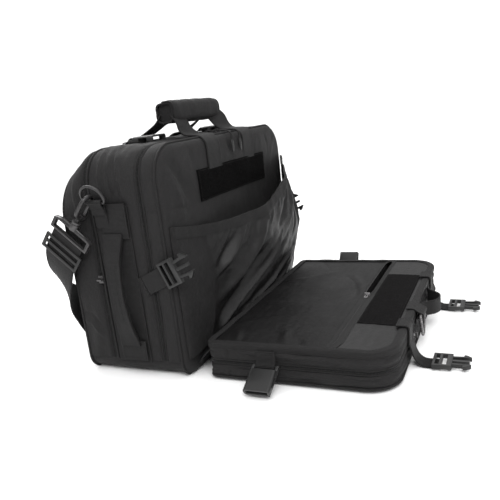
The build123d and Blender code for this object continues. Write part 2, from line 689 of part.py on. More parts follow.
def shoulder_pad():
    """Padded sleeve standing on its edge behind the back panel."""
    half = PAD_THICK / 2
    pad = block((-PAD_HALF, PAD_HALF), (PAD_Y - half, PAD_Y + half),
                (PAD_Z - PAD_WIDTH / 2, PAD_Z + PAD_WIDTH / 2))
    pad = fillet(pad.edges().filter_by(Axis.X), half * 0.8)
    return pad


def strap_adjuster():
    """Flat ladder slider that shortens the shoulder strap, threaded on the run below the swivel."""
    centre = strap_point(STRAP_BAR_REACH + 22)
    half = SHOULDER_WEB / 2 + 1 + LOOP_FRAME
    bars = block((-11, 11), (-half, half), (WEB_THICK / 2, WEB_THICK / 2 + 3.5))
    for x0, x1 in ((-7.5, -1.8), (1.8, 7.5)):
        bars -= block((x0, x1), (-half + LOOP_FRAME, half - LOOP_FRAME), (-9, 9))
    return place(bars, centre, HOOK_DOWN, (-1, 0, 0))


# ---------------------------------------------------------------- front pouch

def flap_outline(z, inset):
    """The pouch's outline seen from above, moved in by inset."""
    centre_y = (FLAP_START_Y + FLAP_END_Y) / 2
    face = Pos(0, centre_y, z) * Rectangle(FLAP_WIDTH - 2 * inset, FLAP_LENGTH - 2 * inset)
    free_end = face.vertices().group_by(Axis.Y)[0]
    face = fillet(free_end, FLAP_END_RADIUS - inset)
    hinge_end = face.vertices().group_by(Axis.Y)[-1]
    return fillet(hinge_end, FLAP_HINGE_RADIUS - inset)


def flap_slab(z0, z1, inset):
    return extrude(flap_outline(z0, inset), z1 - z0)


def flap_band(z0, z1, outer, inner):
    return flap_slab(z0, z1, outer) - flap_slab(z0, z1, inner)


def flap_outer_panel():
    return flap_slab(PANEL_BASE_Z, PANEL_TOP_Z, 0)


def flap_gusset():
    """Cloth band round the pouch, below and above its zipper."""
    lower = flap_band(PANEL_TOP_Z, FLAP_ZIP_Z, 0, FLAP_WALL)
    upper = flap_band(FLAP_ZIP_Z + ZIP_WIDTH, LINING_Z, 0, FLAP_WALL)
    return lower, upper


def flap_zipper():
    tape = flap_band(FLAP_ZIP_Z, FLAP_ZIP_Z + ZIP_WIDTH, ZIP_SINK, ZIP_SINK + TAPE)
    middle = FLAP_ZIP_Z + ZIP_WIDTH / 2
    coil = flap_band(middle - COIL_WIDTH / 2, middle + COIL_WIDTH / 2, ZIP_SINK - COIL_HEIGHT, ZIP_SINK)
    return tape + coil


ZIP_SEAT = ZIP_WIDTH + 2 * FLAP_WALL


def flap_lining():
    """Lining that faces up: from the hinge to the inner pocket's zipper."""
    keep = block((-BAG_WIDTH, BAG_WIDTH), (INNER_ZIP_Y + ZIP_SEAT / 2, FLAP_START_Y + 9), (0, 90))
    return flap_slab(LINING_Z, FLAP_THICK, 0) & keep


def flap_end_panel():
    """Panel between the inner pocket's zipper and the pouch's free end."""
    keep = block((-BAG_WIDTH, BAG_WIDTH), (FLAP_END_Y - 9, INNER_ZIP_Y - ZIP_SEAT / 2), (0, 90))
    return flap_slab(LINING_Z, FLAP_THICK, 0) & keep


def flap_pocket_zipper():
    """Inner zipper: closed coil up to the slider, then two open tapes with the mouth between them."""
    top = FLAP_THICK - ZIP_SINK
    edge = ZIP_SEAT / 2
    half_mouth = MOUTH_GAP / 2
    ends = FLAP_SIDE_X
    closed = block((-ends, 0), (INNER_ZIP_Y - edge, INNER_ZIP_Y + edge), (top - TAPE, top))
    open_end = block((INNER_ZIP_HALF, ends), (INNER_ZIP_Y - edge, INNER_ZIP_Y + edge), (top - TAPE, top))
    near = block((0, INNER_ZIP_HALF), (INNER_ZIP_Y + half_mouth, INNER_ZIP_Y + edge), (top - TAPE, top))
    far = block((0, INNER_ZIP_HALF), (INNER_ZIP_Y - edge, INNER_ZIP_Y - half_mouth), (top - TAPE, top))
    coil = block((-INNER_ZIP_HALF, 0), (INNER_ZIP_Y - COIL_WIDTH / 2, INNER_ZIP_Y + COIL_WIDTH / 2),
                 (top, top + COIL_HEIGHT))
    teeth = block((SLIDER_LENGTH, INNER_ZIP_HALF), (0, COIL_WIDTH / 2), (top, top + COIL_HEIGHT))
    near_teeth = Pos(0, INNER_ZIP_Y + half_mouth, 0) * teeth
    far_teeth = Pos(0, INNER_ZIP_Y - half_mouth - COIL_WIDTH / 2, 0) * teeth
    return closed + open_end + near + far + coil + near_teeth + far_teeth


def flap_pocket_bag():
    """Cloth pocket sewn under the end panel, open at the zipper."""
    top = FLAP_THICK - ZIP_SINK - TAPE
    low = top - POCKET_BAG_DEPTH
    half = INNER_ZIP_HALF - 10
    edge = ZIP_SEAT / 2
    y_range = (FLAP_END_Y + 24, INNER_ZIP_Y + edge)
    bag = block((-half, half), y_range, (low, LINING_Z)) + \
        block((-half, half), (INNER_ZIP_Y - edge, INNER_ZIP_Y + edge), (LINING_Z - 1, top))
    room = block((-half + 1.5, half - 1.5), (y_range[0] + 1.5, y_range[1] - 1.5), (low + 1.5, 99))
    return bag - room


def hook_strip():
    """Hook tape on the end panel."""
    y_range = (FLAP_END_Y + 12, INNER_ZIP_Y - ZIP_SEAT / 2 - 3)
    return block((-HOOK_STRIP_HALF, HOOK_STRIP_HALF), y_range, (FLAP_THICK, FLAP_THICK + BINDING))


def flap_binding():
    """Tape folded over the pouch's upper edge."""
    side = flap_band(LINING_Z - 2, FLAP_THICK, -BINDING, 0)
    top = flap_band(FLAP_THICK, FLAP_THICK + BINDING, -BINDING, 8)
    return side + top


def flap_webbing():
    """Rows of webbing on the pouch's outer face, under it when it lies open."""
    rows = []
    for row in range(4):
        y = FLAP_START_Y - 40 - row * 48
        rows.append(block((-150, 150), (y - STRAP_WIDTH / 2, y + STRAP_WIDTH / 2), (0, WEBBING_GRID)))
    return rows


def hinge_web():
    """Cloth that joins the bag's front bottom edge to the pouch's inner edge."""
    face = FRONT_FACE_Y
    path = [(face - 1, 12), (face - 4, 20), (face - 9, 25), (face - 15, 29), (FLAP_START_Y + 1.6, 38)]
    return side_profile_strap(path, FLAP_WIDTH - 30, 0, 2.0)


def closure_anchor():
    """Folded webbing sewn to the pouch's free end, holding a tie strap."""
    top = FLAP_THICK + BINDING
    end = FLAP_END_Y - BINDING
    low = block((-TIE_X - STRAP_WIDTH / 2, -TIE_X + STRAP_WIDTH / 2), (end - WEB_THICK, end),
                (FLAP_ZIP_Z + ZIP_WIDTH + 3, top + WEB_THICK))
    over = block((-TIE_X - STRAP_WIDTH / 2, -TIE_X + STRAP_WIDTH / 2), (end, FLAP_END_Y + 12),
                 (top, top + WEB_THICK))
    return low + over


TIE_PIVOT = (-TIE_X, FLAP_END_Y - BINDING - WEB_THICK / 2, FLAP_ZIP_Z + ZIP_WIDTH + 1.5)


def closure_strap():
    """Tie strap that hangs from the pouch's end down to the ground and out along it."""
    y, z = TIE_PIVOT[1], TIE_PIVOT[2]
    path = [(y, z), (y - 3, z - 12), (y - 9, 7), (y - 17, WEB_THICK / 2 + 0.4), (y - 34, WEB_THICK / 2 + 0.4)]
    return side_profile_strap(path, STRAP_WIDTH, -TIE_X)


def closure_buckle():
    origin = (-TIE_X, TIE_PIVOT[1] - 34 - LADDER_LENGTH / 2 + 9, WEB_THICK + 0.4 + LADDER_THICK / 2)
    return place(male_buckle(), origin, (0, -1, 0), (0, 0, 1))


LOOP_X = 30.0


def flap_grab_loop():
    """Small webbing loop on the pouch's free end."""
    end = FLAP_END_Y - BINDING - 1
    half = 26.0
    stations = []
    for x, y in [(-half, 0), (-half + 4, -9), (-half + 14, -18), (0, -21), (half - 14, -18),
                 (half - 4, -9), (half, 0)]:
        stations.append(((LOOP_X + x, end + y, 33), (0, 0, 1), (0, 1, 0)))
    feet = block((LOOP_X - half - 14, LOOP_X - half + 1), (end, end + 1), (23, 43))
    feet_far = block((LOOP_X + half - 1, LOOP_X + half + 14), (end, end + 1), (23, 43))
    return ribbon(stations, 20, 2.0) + feet + feet_far


RING_TAB_X = -34.0
RING_TAB_WIDTH = 30.0
FLAP_RING_Y = FLAP_END_Y - BINDING - 7
FLAP_RING_Z = FLAP_THICK - 6


def flap_ring_tab():
    """Wide tab at the middle of the pouch's free end that carries a triangular ring."""
    width = RING_TAB_WIDTH
    origin = (RING_TAB_X, FLAP_RING_Y, FLAP_RING_Z)
    inner = RING_WIRE + BAR_GAP
    outer = inner + 1.5
    loop = Rot(0, 90, 0) * (Cylinder(outer, width) - Cylinder(inner, width + 1))
    tail = block((-width / 2, width / 2), (0, 7), (inner, outer))
    return Pos(*origin) * (loop + tail)


def flap_ring():
    """Triangular ring that hangs from its bar."""
    half = RING_TAB_WIDTH / 2 + RING_WIRE + 3.0
    path = FilletPolyline((0, 0, 0), (half, 0, 0), (4, 0, -30), (0, 0, -30), radius=3.5)
    side = sweep(Plane(origin=(0, 0, 0), z_dir=(1, 0, 0)) * Circle(RING_WIRE), path=path)
    origin = (RING_TAB_X, FLAP_RING_Y, FLAP_RING_Z)
    return Pos(*origin) * (side + mirror(side, about=Plane.YZ))


def pocket_slider():
    """Inner pocket's slider with a wire bail lying towards the hinge."""
    body = slider()
    base = SLIDER_GAP + SLIDER_WALL
    bail = block((-12, 2.4), (-2.2, 2.2), (base + 0.4, base + 2)) - \
        block((-10.6, 1.0), (-0.9, 0.9), (base - 1, base + 3))
    return Pos(0, INNER_ZIP_Y, FLAP_THICK - ZIP_SINK + COIL_HEIGHT) * (body + bail)


def upright_slider():
    """Slider for a zipper on a face that looks along -X, running up and down."""
    return Plane(origin=(0, 0, 0), x_dir=(0, 0, 1), z_dir=(-1, 0, 0)).location * slider()


def rear_slider():
    reach = SIDE_X - ZIP_SINK + COIL_HEIGHT
    return Pos(-reach, REAR_ZIP_Y + ZIP_WIDTH / 2, 130) * upright_slider()


FLAP_SLIDER_X = -66.0


def flap_slider():
    """Slider on the pouch's zipper, at the middle of its free end."""
    reach = FLAP_END_Y + ZIP_SINK - COIL_HEIGHT
    body = Plane(origin=(0, 0, 0), x_dir=(1, 0, 0), z_dir=(0, -1, 0)).location * slider()
    return Pos(FLAP_SLIDER_X, reach, FLAP_ZIP_Z + ZIP_WIDTH / 2) * body


if __name__ == "__main__":
    os.makedirs("parts", exist_ok=True)
    save("front_panel", front_panel())
    save("front_gusset", front_gusset())
    save("middle_gusset", middle_gusset())
    save("base_panel", base_panel())
    save("main_zipper", zipper(MAIN_ZIP_Y))
    save("rear_zipper", zipper(REAR_ZIP_Y))
    save("rear_gusset", rear_gusset())
    save("rear_panel", rear_panel())
    save("laptop_divider", laptop_divider())
    save("slip_pocket", slip_pocket())
    save("slip_pocket_binding", slip_pocket_binding())
    save("loop_patch", loop_patch())
    save("handle_front_strap", *handle_front_strap())
    save("handle_rear_strap", *handle_rear_strap())
    save("handle_wrap", handle_wrap())
    save("side_webbing", *both_sides(side_webbing()[0]), *both_sides(side_webbing()[1]))
    save("side_grab_handles", *both_sides(side_grab_handle()))
    save("webbing_tabs", *both_sides(ring_tab()), *both_sides(top_tab()), *both_sides(side_strap_anchor()))
    save("swivel_bases", *both_sides(swivel_base()))
    save("shoulder_strap", *shoulder_strap())
    save("shoulder_pad", shoulder_pad())
    save("strap_adjusters", *both_sides(strap_adjuster()))
    save("flap_hinge_web", hinge_web())

    pairs = {
        "d_ring": d_ring(),
        "snap_hook": snap_hook(),
        "hook_gate": hook_gate(),
        "top_buckle": top_buckle(),
        "side_buckle": side_buckle(),
        "side_strap": side_strap(),
        "closure_strap": closure_strap(),
        "closure_buckle": closure_buckle(),
    }
    for name, shape in pairs.items():
        left, right = both_sides(shape)
        save(name + "_left", left)
        save(name + "_right", right)

    save("main_slider_left", main_slider(MAIN_SLIDER_X[0]))
    save("main_slider_right", main_slider(MAIN_SLIDER_X[1]))
    save("main_pull_left", main_pull(MAIN_SLIDER_X[0]))
    save("main_pull_right", main_pull(MAIN_SLIDER_X[1]))
    save("rear_slider", rear_slider())

    save("flap_lining", flap_lining())
    save("flap_end_panel", flap_end_panel())
    save("flap_gusset", *flap_gusset())
    save("flap_outer_panel", flap_outer_panel())
    save("flap_binding", flap_binding())
    save("flap_zipper", flap_zipper())
    save("flap_pocket_zipper", flap_pocket_zipper())
    save("flap_pocket_bag", flap_pocket_bag())
    save("flap_hook_strip", hook_strip())
    save("flap_webbing", *flap_webbing(), *both_sides(flap_side_tab()), *both_sides(closure_anchor()),
         flap_ring_tab())
    save("flap_grab_loop", flap_grab_loop())
    save("flap_ring", flap_ring())
    save("flap_buckle_left", flap_buckle_left())
    save("flap_buckle_right", flap_buckle_right())
    save("pocket_slider", pocket_slider())
    save("flap_slider", flap_slider())
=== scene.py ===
import json
import math

import bmesh
import bpy
import numpy as np
from mathutils import Matrix, Vector


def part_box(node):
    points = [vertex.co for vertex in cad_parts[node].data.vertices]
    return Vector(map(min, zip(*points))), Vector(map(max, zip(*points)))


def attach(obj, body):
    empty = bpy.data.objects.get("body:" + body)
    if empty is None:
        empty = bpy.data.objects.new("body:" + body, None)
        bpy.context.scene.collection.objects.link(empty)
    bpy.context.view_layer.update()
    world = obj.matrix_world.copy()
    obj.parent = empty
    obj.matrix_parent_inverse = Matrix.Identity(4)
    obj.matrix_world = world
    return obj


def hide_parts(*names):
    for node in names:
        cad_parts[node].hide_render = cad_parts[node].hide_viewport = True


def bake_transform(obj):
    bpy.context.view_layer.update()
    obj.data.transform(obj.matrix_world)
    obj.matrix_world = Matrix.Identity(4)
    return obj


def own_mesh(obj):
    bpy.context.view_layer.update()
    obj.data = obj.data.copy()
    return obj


# The looks of a soft flight bag whose front pouch lies folded down in front of it. Shapes are worked out
# in millimetres, from the boxes of the CAD nodes, and made in metres. +X is the bag's width, -Y its front.
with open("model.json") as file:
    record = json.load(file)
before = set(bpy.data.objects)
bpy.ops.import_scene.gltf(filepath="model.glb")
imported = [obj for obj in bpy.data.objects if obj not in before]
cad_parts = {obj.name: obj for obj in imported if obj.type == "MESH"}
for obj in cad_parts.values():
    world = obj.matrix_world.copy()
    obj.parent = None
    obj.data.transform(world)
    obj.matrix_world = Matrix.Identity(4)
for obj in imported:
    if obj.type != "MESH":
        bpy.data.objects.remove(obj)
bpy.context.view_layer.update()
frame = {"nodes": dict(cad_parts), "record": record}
MM = 0.001
WEAVE_MAP = "weave"


def low(node):
    return np.array(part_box(node)[0]) / MM


def high(node):
    return np.array(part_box(node)[1]) / MM


def middle(node):
    return (low(node) + high(node)) / 2


def points_of(x, y, z):
    """Points from three coordinates, any of which may be one number for all."""
    return np.stack(np.broadcast_arrays(x, y, z), -1)


def unit(v):
    """The same directions, with length one."""
    return v / np.maximum(np.linalg.norm(v, axis=-1, keepdims=True), 1e-9)


def rim_of(grid):
    """The points round a grid's edge."""
    return np.concatenate([grid[:, 0], grid[-1, 1:-1], grid[::-1, -1], grid[0, -2:0:-1]])


def add_object(name, data):
    made = bpy.data.objects.new(name, data)
    bpy.context.scene.collection.objects.link(made)
    return made


# ---------------------------------------------------------------- sizes read from the frame
HALF = high("front_panel")[0]
TOP = high("front_panel")[2]
FRONT_Y = low("front_panel")[1]
TRAY_Z = low("front_gusset")[2]
ZIP_Y = (low("main_zipper")[1], high("main_zipper")[1])
REAR_ZIP_Y = (low("rear_zipper")[1], high("rear_zipper")[1])
PANEL_Y = (low("rear_panel")[1], high("rear_panel")[1])
REAR_TOP = high("rear_panel")[2]
CORNER = 42.0
REAR_CORNER = 60.0
SEAM_Y = FRONT_Y + 9.0
FLAP_Y = (low("flap_outer_panel")[1], high("flap_outer_panel")[1])
FLAP_HALF = high("flap_outer_panel")[0]
FLAP_TOP = high("flap_lining")[2]
FLAP_ZIP_Z = (low("flap_zipper")[2], high("flap_zipper")[2])
FLAP_END_CORNER = 36.0
FLAP_HINGE_CORNER = 10.0
INNER_ZIP_Y = middle("flap_pocket_zipper")[1]
PANEL_Z = 5.0
WEBBING_ROWS = 4


# ---------------------------------------------------------------- smooth numbers
def curve(knots, x):
    """A smooth line through (x, value) knots."""
    xs, values = np.array(knots, float).T
    slope = np.gradient(values, xs)
    i = np.clip(np.searchsorted(xs, x) - 1, 0, len(xs) - 2)
    h = xs[i + 1] - xs[i]
    t = np.clip((x - xs[i]) / h, 0, 1)
    rise = (2 * t**3 - 3 * t**2 + 1) * values[i] + (3 * t**2 - 2 * t**3) * values[i + 1]
    return rise + h * ((t**3 - 2 * t**2 + t) * slope[i] + (t**3 - t**2) * slope[i + 1])


def ripple(a, b, seed, pitch, stretch=1.0, count=9):
    """Uneven waves over two coordinates, about -1 to 1, drawn out along b by stretch."""
    rng = np.random.default_rng(seed)
    total = 0
    for _ in range(count):
        turn, phase = rng.uniform(0, 2 * math.pi, 2)
        size = pitch * rng.uniform(0.7, 1.7)
        total = total + np.sin((a * math.cos(turn) + b * math.sin(turn) / stretch) * 2 * math.pi / size + phase)
    return total / math.sqrt(count)


def crease(a, b, line, width, height, lee=1.0):
    """A ridge, or a valley if height is negative, along (a, b) points. lee is the far side's width share."""
    points = np.array(line, float)
    steps = np.diff(points, axis=0)
    lengths = np.hypot(*steps.T)
    starts = np.concatenate([[0], np.cumsum(lengths)])
    best = np.full(np.shape(a + b), 1e9)
    place, side = np.zeros_like(best), np.ones_like(best)
    for (pa, pb), (da, db), size, start in zip(points, steps, lengths, starts):
        t = np.clip(((a - pa) * da + (b - pb) * db) / size**2, 0, 1)
        away = np.hypot(a - pa - t * da, b - pb - t * db)
        near = away < best
        best = np.where(near, away, best)
        place = np.where(near, start + t * size, place)
        side = np.where(near, np.sign((a - pa) * db - (b - pb) * da), side)
    fade = np.sin(np.pi * np.clip(place / starts[-1], 0.02, 0.98)) ** 0.6
    reach = np.where(side > 0, width, width * lee)
    return height * fade * np.exp(-((best / reach) ** 2))


def creased(out, a, b, folds):
    """An offset with creases added to it, each as (line, width, height) or (line, width, height, lee)."""
    for fold in folds:
        out = out + crease(a, b, *fold)
    return out


def crown(t, depth, roll=1.6, height=2.0):
    """Offset across a sewn panel that rolls in at both seams and crowns between them."""
    edge = np.minimum(t, 1 - t) * depth
    return height * np.sin(np.pi * np.clip(t, 0, 1)) ** 0.7 - roll * np.exp(-((edge / 1.7) ** 2))


# ---------------------------------------------------------------- meshes
def finish_mesh(name, verts, faces, uvs, look, body, nodes=(), slot=None):
    """Make the object in metres; a look may be given by name. The slot argument is not used."""
    if isinstance(look, str):
        look, slot = LOOKS[look], look
    mesh = bpy.data.meshes.new(name)
    mesh.from_pydata((np.asarray(verts) * MM).tolist(), [], [list(map(int, f)) for f in faces])
    if uvs is not None:
        layer = mesh.uv_layers.new(name=WEAVE_MAP)
        layer.uv.foreach_set("vector", (np.asarray(uvs) * MM).astype(np.float32).ravel())
    mesh.shade_smooth()
    mesh.set_sharp_from_angle(angle=math.radians(52))
    mesh.materials.append(look)
    piece = add_object(name, mesh)
    if nodes:
        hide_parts(*nodes)
    if body:
        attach(piece, body)
    return piece


def lengths_along(grid, axis):
    """Distance along one axis of a grid of points, averaged over the other."""
    steps = np.linalg.norm(np.diff(grid, axis=axis), axis=2).mean(axis=1 - axis)
    return np.concatenate([[0], np.cumsum(steps)])


def grid_faces(rows, cols, wrap):
    """Quads of a grid as (row, column) index pairs; wrap joins the last row to the first."""
    i, j = np.meshgrid(np.arange(rows if wrap else rows - 1), np.arange(cols - 1), indexing="ij")
    return np.stack([i, j, i + 1, j, i + 1, j + 1, i, j + 1], -1).reshape(-1, 4, 2)


def cloth(name, grid, thick, look, body, *nodes, wrap=False, slot=None, held=None, rests=()):
    """A closed piece of cloth from a grid of points on its face, with its thickness behind them."""
    rows, cols = grid.shape[:2]
    du = np.roll(grid, -1, 0) - np.roll(grid, 1, 0) if wrap else np.gradient(grid, axis=0)
    normal = unit(np.cross(du, np.gradient(grid, axis=1)))
    verts = np.concatenate([grid.reshape(-1, 3), (grid - normal * thick).reshape(-1, 3)])
    long = np.concatenate([grid, grid[:1]]) if wrap else grid
    u, v = lengths_along(long, 0), lengths_along(long, 1)
    pairs = grid_faces(rows, cols, wrap)
    number = (pairs[..., 0] % rows) * cols + pairs[..., 1]
    uv = np.stack([u[pairs[..., 0]], v[pairs[..., 1]]], -1)
    faces, uvs = [number], [uv]
    back = rows * cols
    faces.append(number[:, ::-1] + back)
    uvs.append(uv[:, ::-1])
    rims = []
    for j, flip in ((0, False), (cols - 1, True)):
        i = np.arange(rows if wrap else rows - 1)
        a, b = i * cols + j, ((i + 1) % rows) * cols + j
        quad = np.stack([b, a, a + back, b + back], 1)
        rims.append((quad[:, ::-1] if flip else quad, u[i], v[j]))
    if not wrap:
        for i, flip in ((0, True), (rows - 1, False)):
            j = np.arange(cols - 1)
            a, b = i * cols + j, i * cols + j + 1
            quad = np.stack([b, a, a + back, b + back], 1)
            rims.append((quad[:, ::-1] if flip else quad, u[i], v[j]))
    for quad, ru, rv in rims:
        faces.append(quad)
        corner = np.stack(np.broadcast_arrays(ru, rv), -1)
        corner = np.broadcast_to(corner.reshape(-1, 1, 2), (len(quad), 4, 2)) + np.zeros((len(quad), 4, 2))
        uvs.append(corner + np.array([[0, 0], [1, 0], [1, 1], [0, 1]]))
    piece = finish_mesh(name, verts, np.concatenate(faces), np.concatenate(uvs), look, body, nodes, slot)
    return piece


def smooth_path(points, step=3.0, closed=False):
    """Catmull-Rom points about every step mm through chosen ones."""
    p = np.array(points, float)
    if closed:
        p = np.concatenate([p[-1:], p, p[:2]])
    else:
        p = np.concatenate([2 * p[:1] - p[1:2], p, 2 * p[-1:] - p[-2:-1]])
    out = []
    for i in range(1, len(p) - 2):
        count = max(2, int(np.linalg.norm(p[i + 1, :3] - p[i, :3]) / step))
        t = np.linspace(0, 1, count, endpoint=False)[:, None]
        a = 2 * p[i] + (p[i + 1] - p[i - 1]) * t
        b = (2 * p[i - 1] - 5 * p[i] + 4 * p[i + 1] - p[i + 2]) * t**2
        c = (3 * p[i] - p[i - 1] - 3 * p[i + 1] + p[i + 2]) * t**3
        out.append((a + b + c) / 2)
    if not closed:
        out.append(p[-2:-1])
    return np.concatenate(out)


def section_mesh(centres, across, through, profiles, closed=False):
    """Rings of profile points along a line of centres, joined into one closed skin with caps."""
    rows, cols = len(centres), profiles.shape[-2]
    rings = centres[:, None] + across[:, None] * profiles[..., 0:1] + through[:, None] * profiles[..., 1:2]
    verts = rings.reshape(-1, 3)
    steps = np.linalg.norm(np.diff(np.concatenate([centres, centres[:1]]), axis=0), axis=1)
    u = np.concatenate([[0], np.cumsum(steps)])
    shape = profiles if profiles.ndim == 2 else profiles[0]
    v = shape[:, 0]
    faces, uvs = [], []
    for i in range(rows if closed else rows - 1):
        k = (i + 1) % rows
        for j in range(cols):
            m = (j + 1) % cols
            faces.append((i * cols + j, i * cols + m, k * cols + m, k * cols + j))
            uvs += [(u[i], v[j]), (u[i], v[m]), (u[i + 1], v[m]), (u[i + 1], v[j])]
    if not closed:
        faces.append(tuple(range(cols - 1, -1, -1)))
        uvs += [(u[0], v[j]) for j in range(cols - 1, -1, -1)]
        faces.append(tuple((rows - 1) * cols + j for j in range(cols)))
        uvs += [(u[-2], v[j]) for j in range(cols)]
    return verts, faces, np.array(uvs)


def band_profile(width, thick):
    """Webbing in section: flat faces with a slightly beaded edge."""
    w, h = width / 2, thick / 2
    top = [(-w, 0.25 * h), (-w + 0.5, 0.95 * h), (-w + 1.4, 1.08 * h), (-w + 2.6, 0.9 * h), (-w / 3, h), (0, h)]
    top += [(-x, y) for x, y in reversed(top[:-1])]
    return np.array(top + [(x, -y) for x, y in reversed(top)])


def strap(name, points, across, width, thick, body, *nodes, step=3.0):
    """Webbing along chosen points; across is its width's direction, one for all points or one each."""
    points = np.array(points, float)
    across = np.broadcast_to(np.array(across, float), points.shape)
    widths = np.broadcast_to(np.array(width, float), (len(points),))
    line = smooth_path(np.concatenate([points, across, widths[:, None]], 1), step)
    centres, side, width_here = line[:, :3], line[:, 3:6], line[:, 6]
    tangent = unit(np.gradient(centres, axis=0))
    side = unit(side - (side * tangent).sum(1, keepdims=True) * tangent)
    through = np.cross(tangent, side)
    base = band_profile(widths.max(), thick)
    profiles = np.stack([base * np.array([w / widths.max(), 1.0]) for w in width_here])
    verts, faces, uvs = section_mesh(centres, side, through, profiles)
    return finish_mesh(name, verts, faces, uvs, "webbing", body, nodes), (centres, side, through)


def tube(name, points, radius, look, body, *nodes, slot=None, sides=10, step=2.0, closed=False, smooth=True):
    """A round cord or wire along chosen points."""
    centres = smooth_path(points, step, closed) if smooth else np.array(points, float)
    tangent = unit(np.roll(centres, -1, 0) - np.roll(centres, 1, 0) if closed else np.gradient(centres, axis=0))
    side = [np.cross(tangent[0], (0.31, 0.52, 0.79))]
    for t in tangent[1:]:
        s = side[-1] - np.dot(side[-1], t) * t
        side.append(s / np.linalg.norm(s))
    side[0] /= np.linalg.norm(side[0])
    side = np.array(side)
    angle = np.linspace(0, 2 * math.pi, sides, endpoint=False)
    profile = radius * np.stack([np.cos(angle), np.sin(angle)], 1)
    verts, faces, uvs = section_mesh(centres, side, np.cross(tangent, side), profile, closed)
    return finish_mesh(name, verts, faces, uvs, look, body, nodes, slot)


LITTLE = np.array([(-0.5, 0, 0), (0.5, 0, 0), (0, -0.5, 0.1), (0, 0.5, 0.1), (-0.28, 0, 0.5), (0.28, 0, 0.5)])
LITTLE_FACES = [(0, 2, 4), (2, 5, 4), (2, 1, 5), (1, 3, 5), (3, 4, 5), (3, 0, 4), (0, 3, 1, 2)]


def little_ones(name, places, along, up, size, look, body, slot=None):
    """Many small humps of one size: stitches along a seam, or the teeth of a zipper."""
    along = unit(along)
    side = unit(np.cross(up, along))
    up = np.cross(along, side)
    shape = LITTLE * np.array(size)
    verts = places[:, None] + shape[None, :, :1] * along[:, None] + shape[None, :, 1:2] * side[:, None]
    verts = (verts + shape[None, :, 2:] * up[:, None]).reshape(-1, 3)
    faces = [tuple(k + 6 * i for k in f) for i in range(len(places)) for f in LITTLE_FACES]
    return finish_mesh(name, verts, faces, None, look, body, (), slot)


def spaced(line, extra, pitch, closed=False):
    """Points every pitch mm along a line, with its direction and a value carried along it."""
    line = np.asarray(line, float)
    extra = np.broadcast_to(np.asarray(extra, float), line.shape)
    if closed:
        line, extra = np.concatenate([line, line[:1]]), np.concatenate([extra, extra[:1]])
    reach = np.concatenate([[0], np.cumsum(np.linalg.norm(np.diff(line, axis=0), axis=1))])
    at = np.arange(pitch / 2, reach[-1], pitch)

    def read(values, where):
        return np.stack([np.interp(where, reach, values[:, k]) for k in range(3)], 1)

    return read(line, at), read(line, at + 0.4) - read(line, at - 0.4), read(extra, at)


STITCHES = {}


def sewn_round(group, lo, hi, inset, count, place, up):
    """Stitches just inside a rectangle; place(a, b) gives the points on it."""
    (a0, b0), (a1, b1) = lo + inset, hi - inset
    ring = [(a0, b0), (a1, b0), (a1, b1), (a0, b1), (a0, b0)]
    for (pa, pb), (qa, qb) in zip(ring, ring[1:]):
        stitch(group, place(np.linspace(pa, qa, count), np.linspace(pb, qb, count)), up)


def patch_grid(lo, hi, axis):
    """Places over a flat patch in x and along another axis, with each one's distance in from the edge."""
    x, b = np.meshgrid(np.linspace(lo[0], hi[0], 110), np.linspace(lo[axis], hi[axis], 30), indexing="ij")
    return x, b, np.minimum(np.minimum(x - lo[0], hi[0] - x), np.minimum(b - lo[axis], hi[axis] - b))


def stitch(group, line, up, closed=False, pitch=3.4):
    """Add a row of stitches to a group, which becomes one piece at the end."""
    STITCHES.setdefault(group, []).append(spaced(line, up, pitch, closed))


def stitch_on_strap(group, frame_of_strap, offsets, first, last, lift):
    """Rows of stitches along a strap between two shares of its length, at chosen offsets from its middle."""
    centres, side, through = frame_of_strap
    count = len(centres)
    part = slice(int(first * count), max(int(last * count), int(first * count) + 2))
    for offset in offsets:
        for face in (1, -1):
            line = centres[part] + side[part] * offset + through[part] * face * lift
            stitch(group, line, through[part] * face)


# ---------------------------------------------------------------- materials
def feed(tree, made, inputs):
    """Give a node's inputs a value each, or another node's output."""
    for key, value in inputs.items():
        if isinstance(value, bpy.types.NodeSocket):
            tree.links.new(value, made.inputs[key])
        else:
            made.inputs[key].default_value = value


def node(tree, kind, inputs=None, **settings):
    """Add a shader node."""
    made = tree.nodes.new(kind)
    for key, value in settings.items():
        setattr(made, key, value)
    feed(tree, made, inputs or {})
    return made


def grey(value, warm=0.0):
    return (value * (1 + warm), value, value * (1 + 0.4 * warm), 1)


def start_material(name):
    material = bpy.data.materials.new(name)
    material.use_nodes = True
    tree = material.node_tree
    shader = tree.nodes["Principled BSDF"]
    place = node(tree, "ShaderNodeTexCoord").outputs["Object"]
    return material, tree, shader, place


def noise(tree, place, scale, detail=3.0, rough=0.55):
    inputs = {"Vector": place, "Scale": scale, "Detail": detail, "Roughness": rough}
    return node(tree, "ShaderNodeTexNoise", inputs).outputs["Fac"]


def math_node(tree, operation, a, b):
    return node(tree, "ShaderNodeMath", {0: a, 1: b}, operation=operation).outputs[0]


def weighted(tree, a, share_a, b, share_b):
    return math_node(tree, "ADD", math_node(tree, "MULTIPLY", a, share_a), math_node(tree, "MULTIPLY", b, share_b))


def between(tree, value, low_to, high_to, low_from=0.3, high_from=0.7):
    inputs = {"Value": value, "From Min": low_from, "From Max": high_from, "To Min": low_to, "To Max": high_to}
    return node(tree, "ShaderNodeMapRange", inputs).outputs["Result"]


def mix(tree, factor, a, b):
    made = node(tree, "ShaderNodeMix", data_type="RGBA")
    for socket, value in zip([s for s in made.inputs if s.name in "AB" and s.type == "RGBA"], (a, b)):
        if isinstance(value, bpy.types.NodeSocket):
            tree.links.new(value, socket)
        else:
            socket.default_value = value
    tree.links.new(factor, made.inputs["Factor"])
    return next(s for s in made.outputs if s.type == "RGBA")


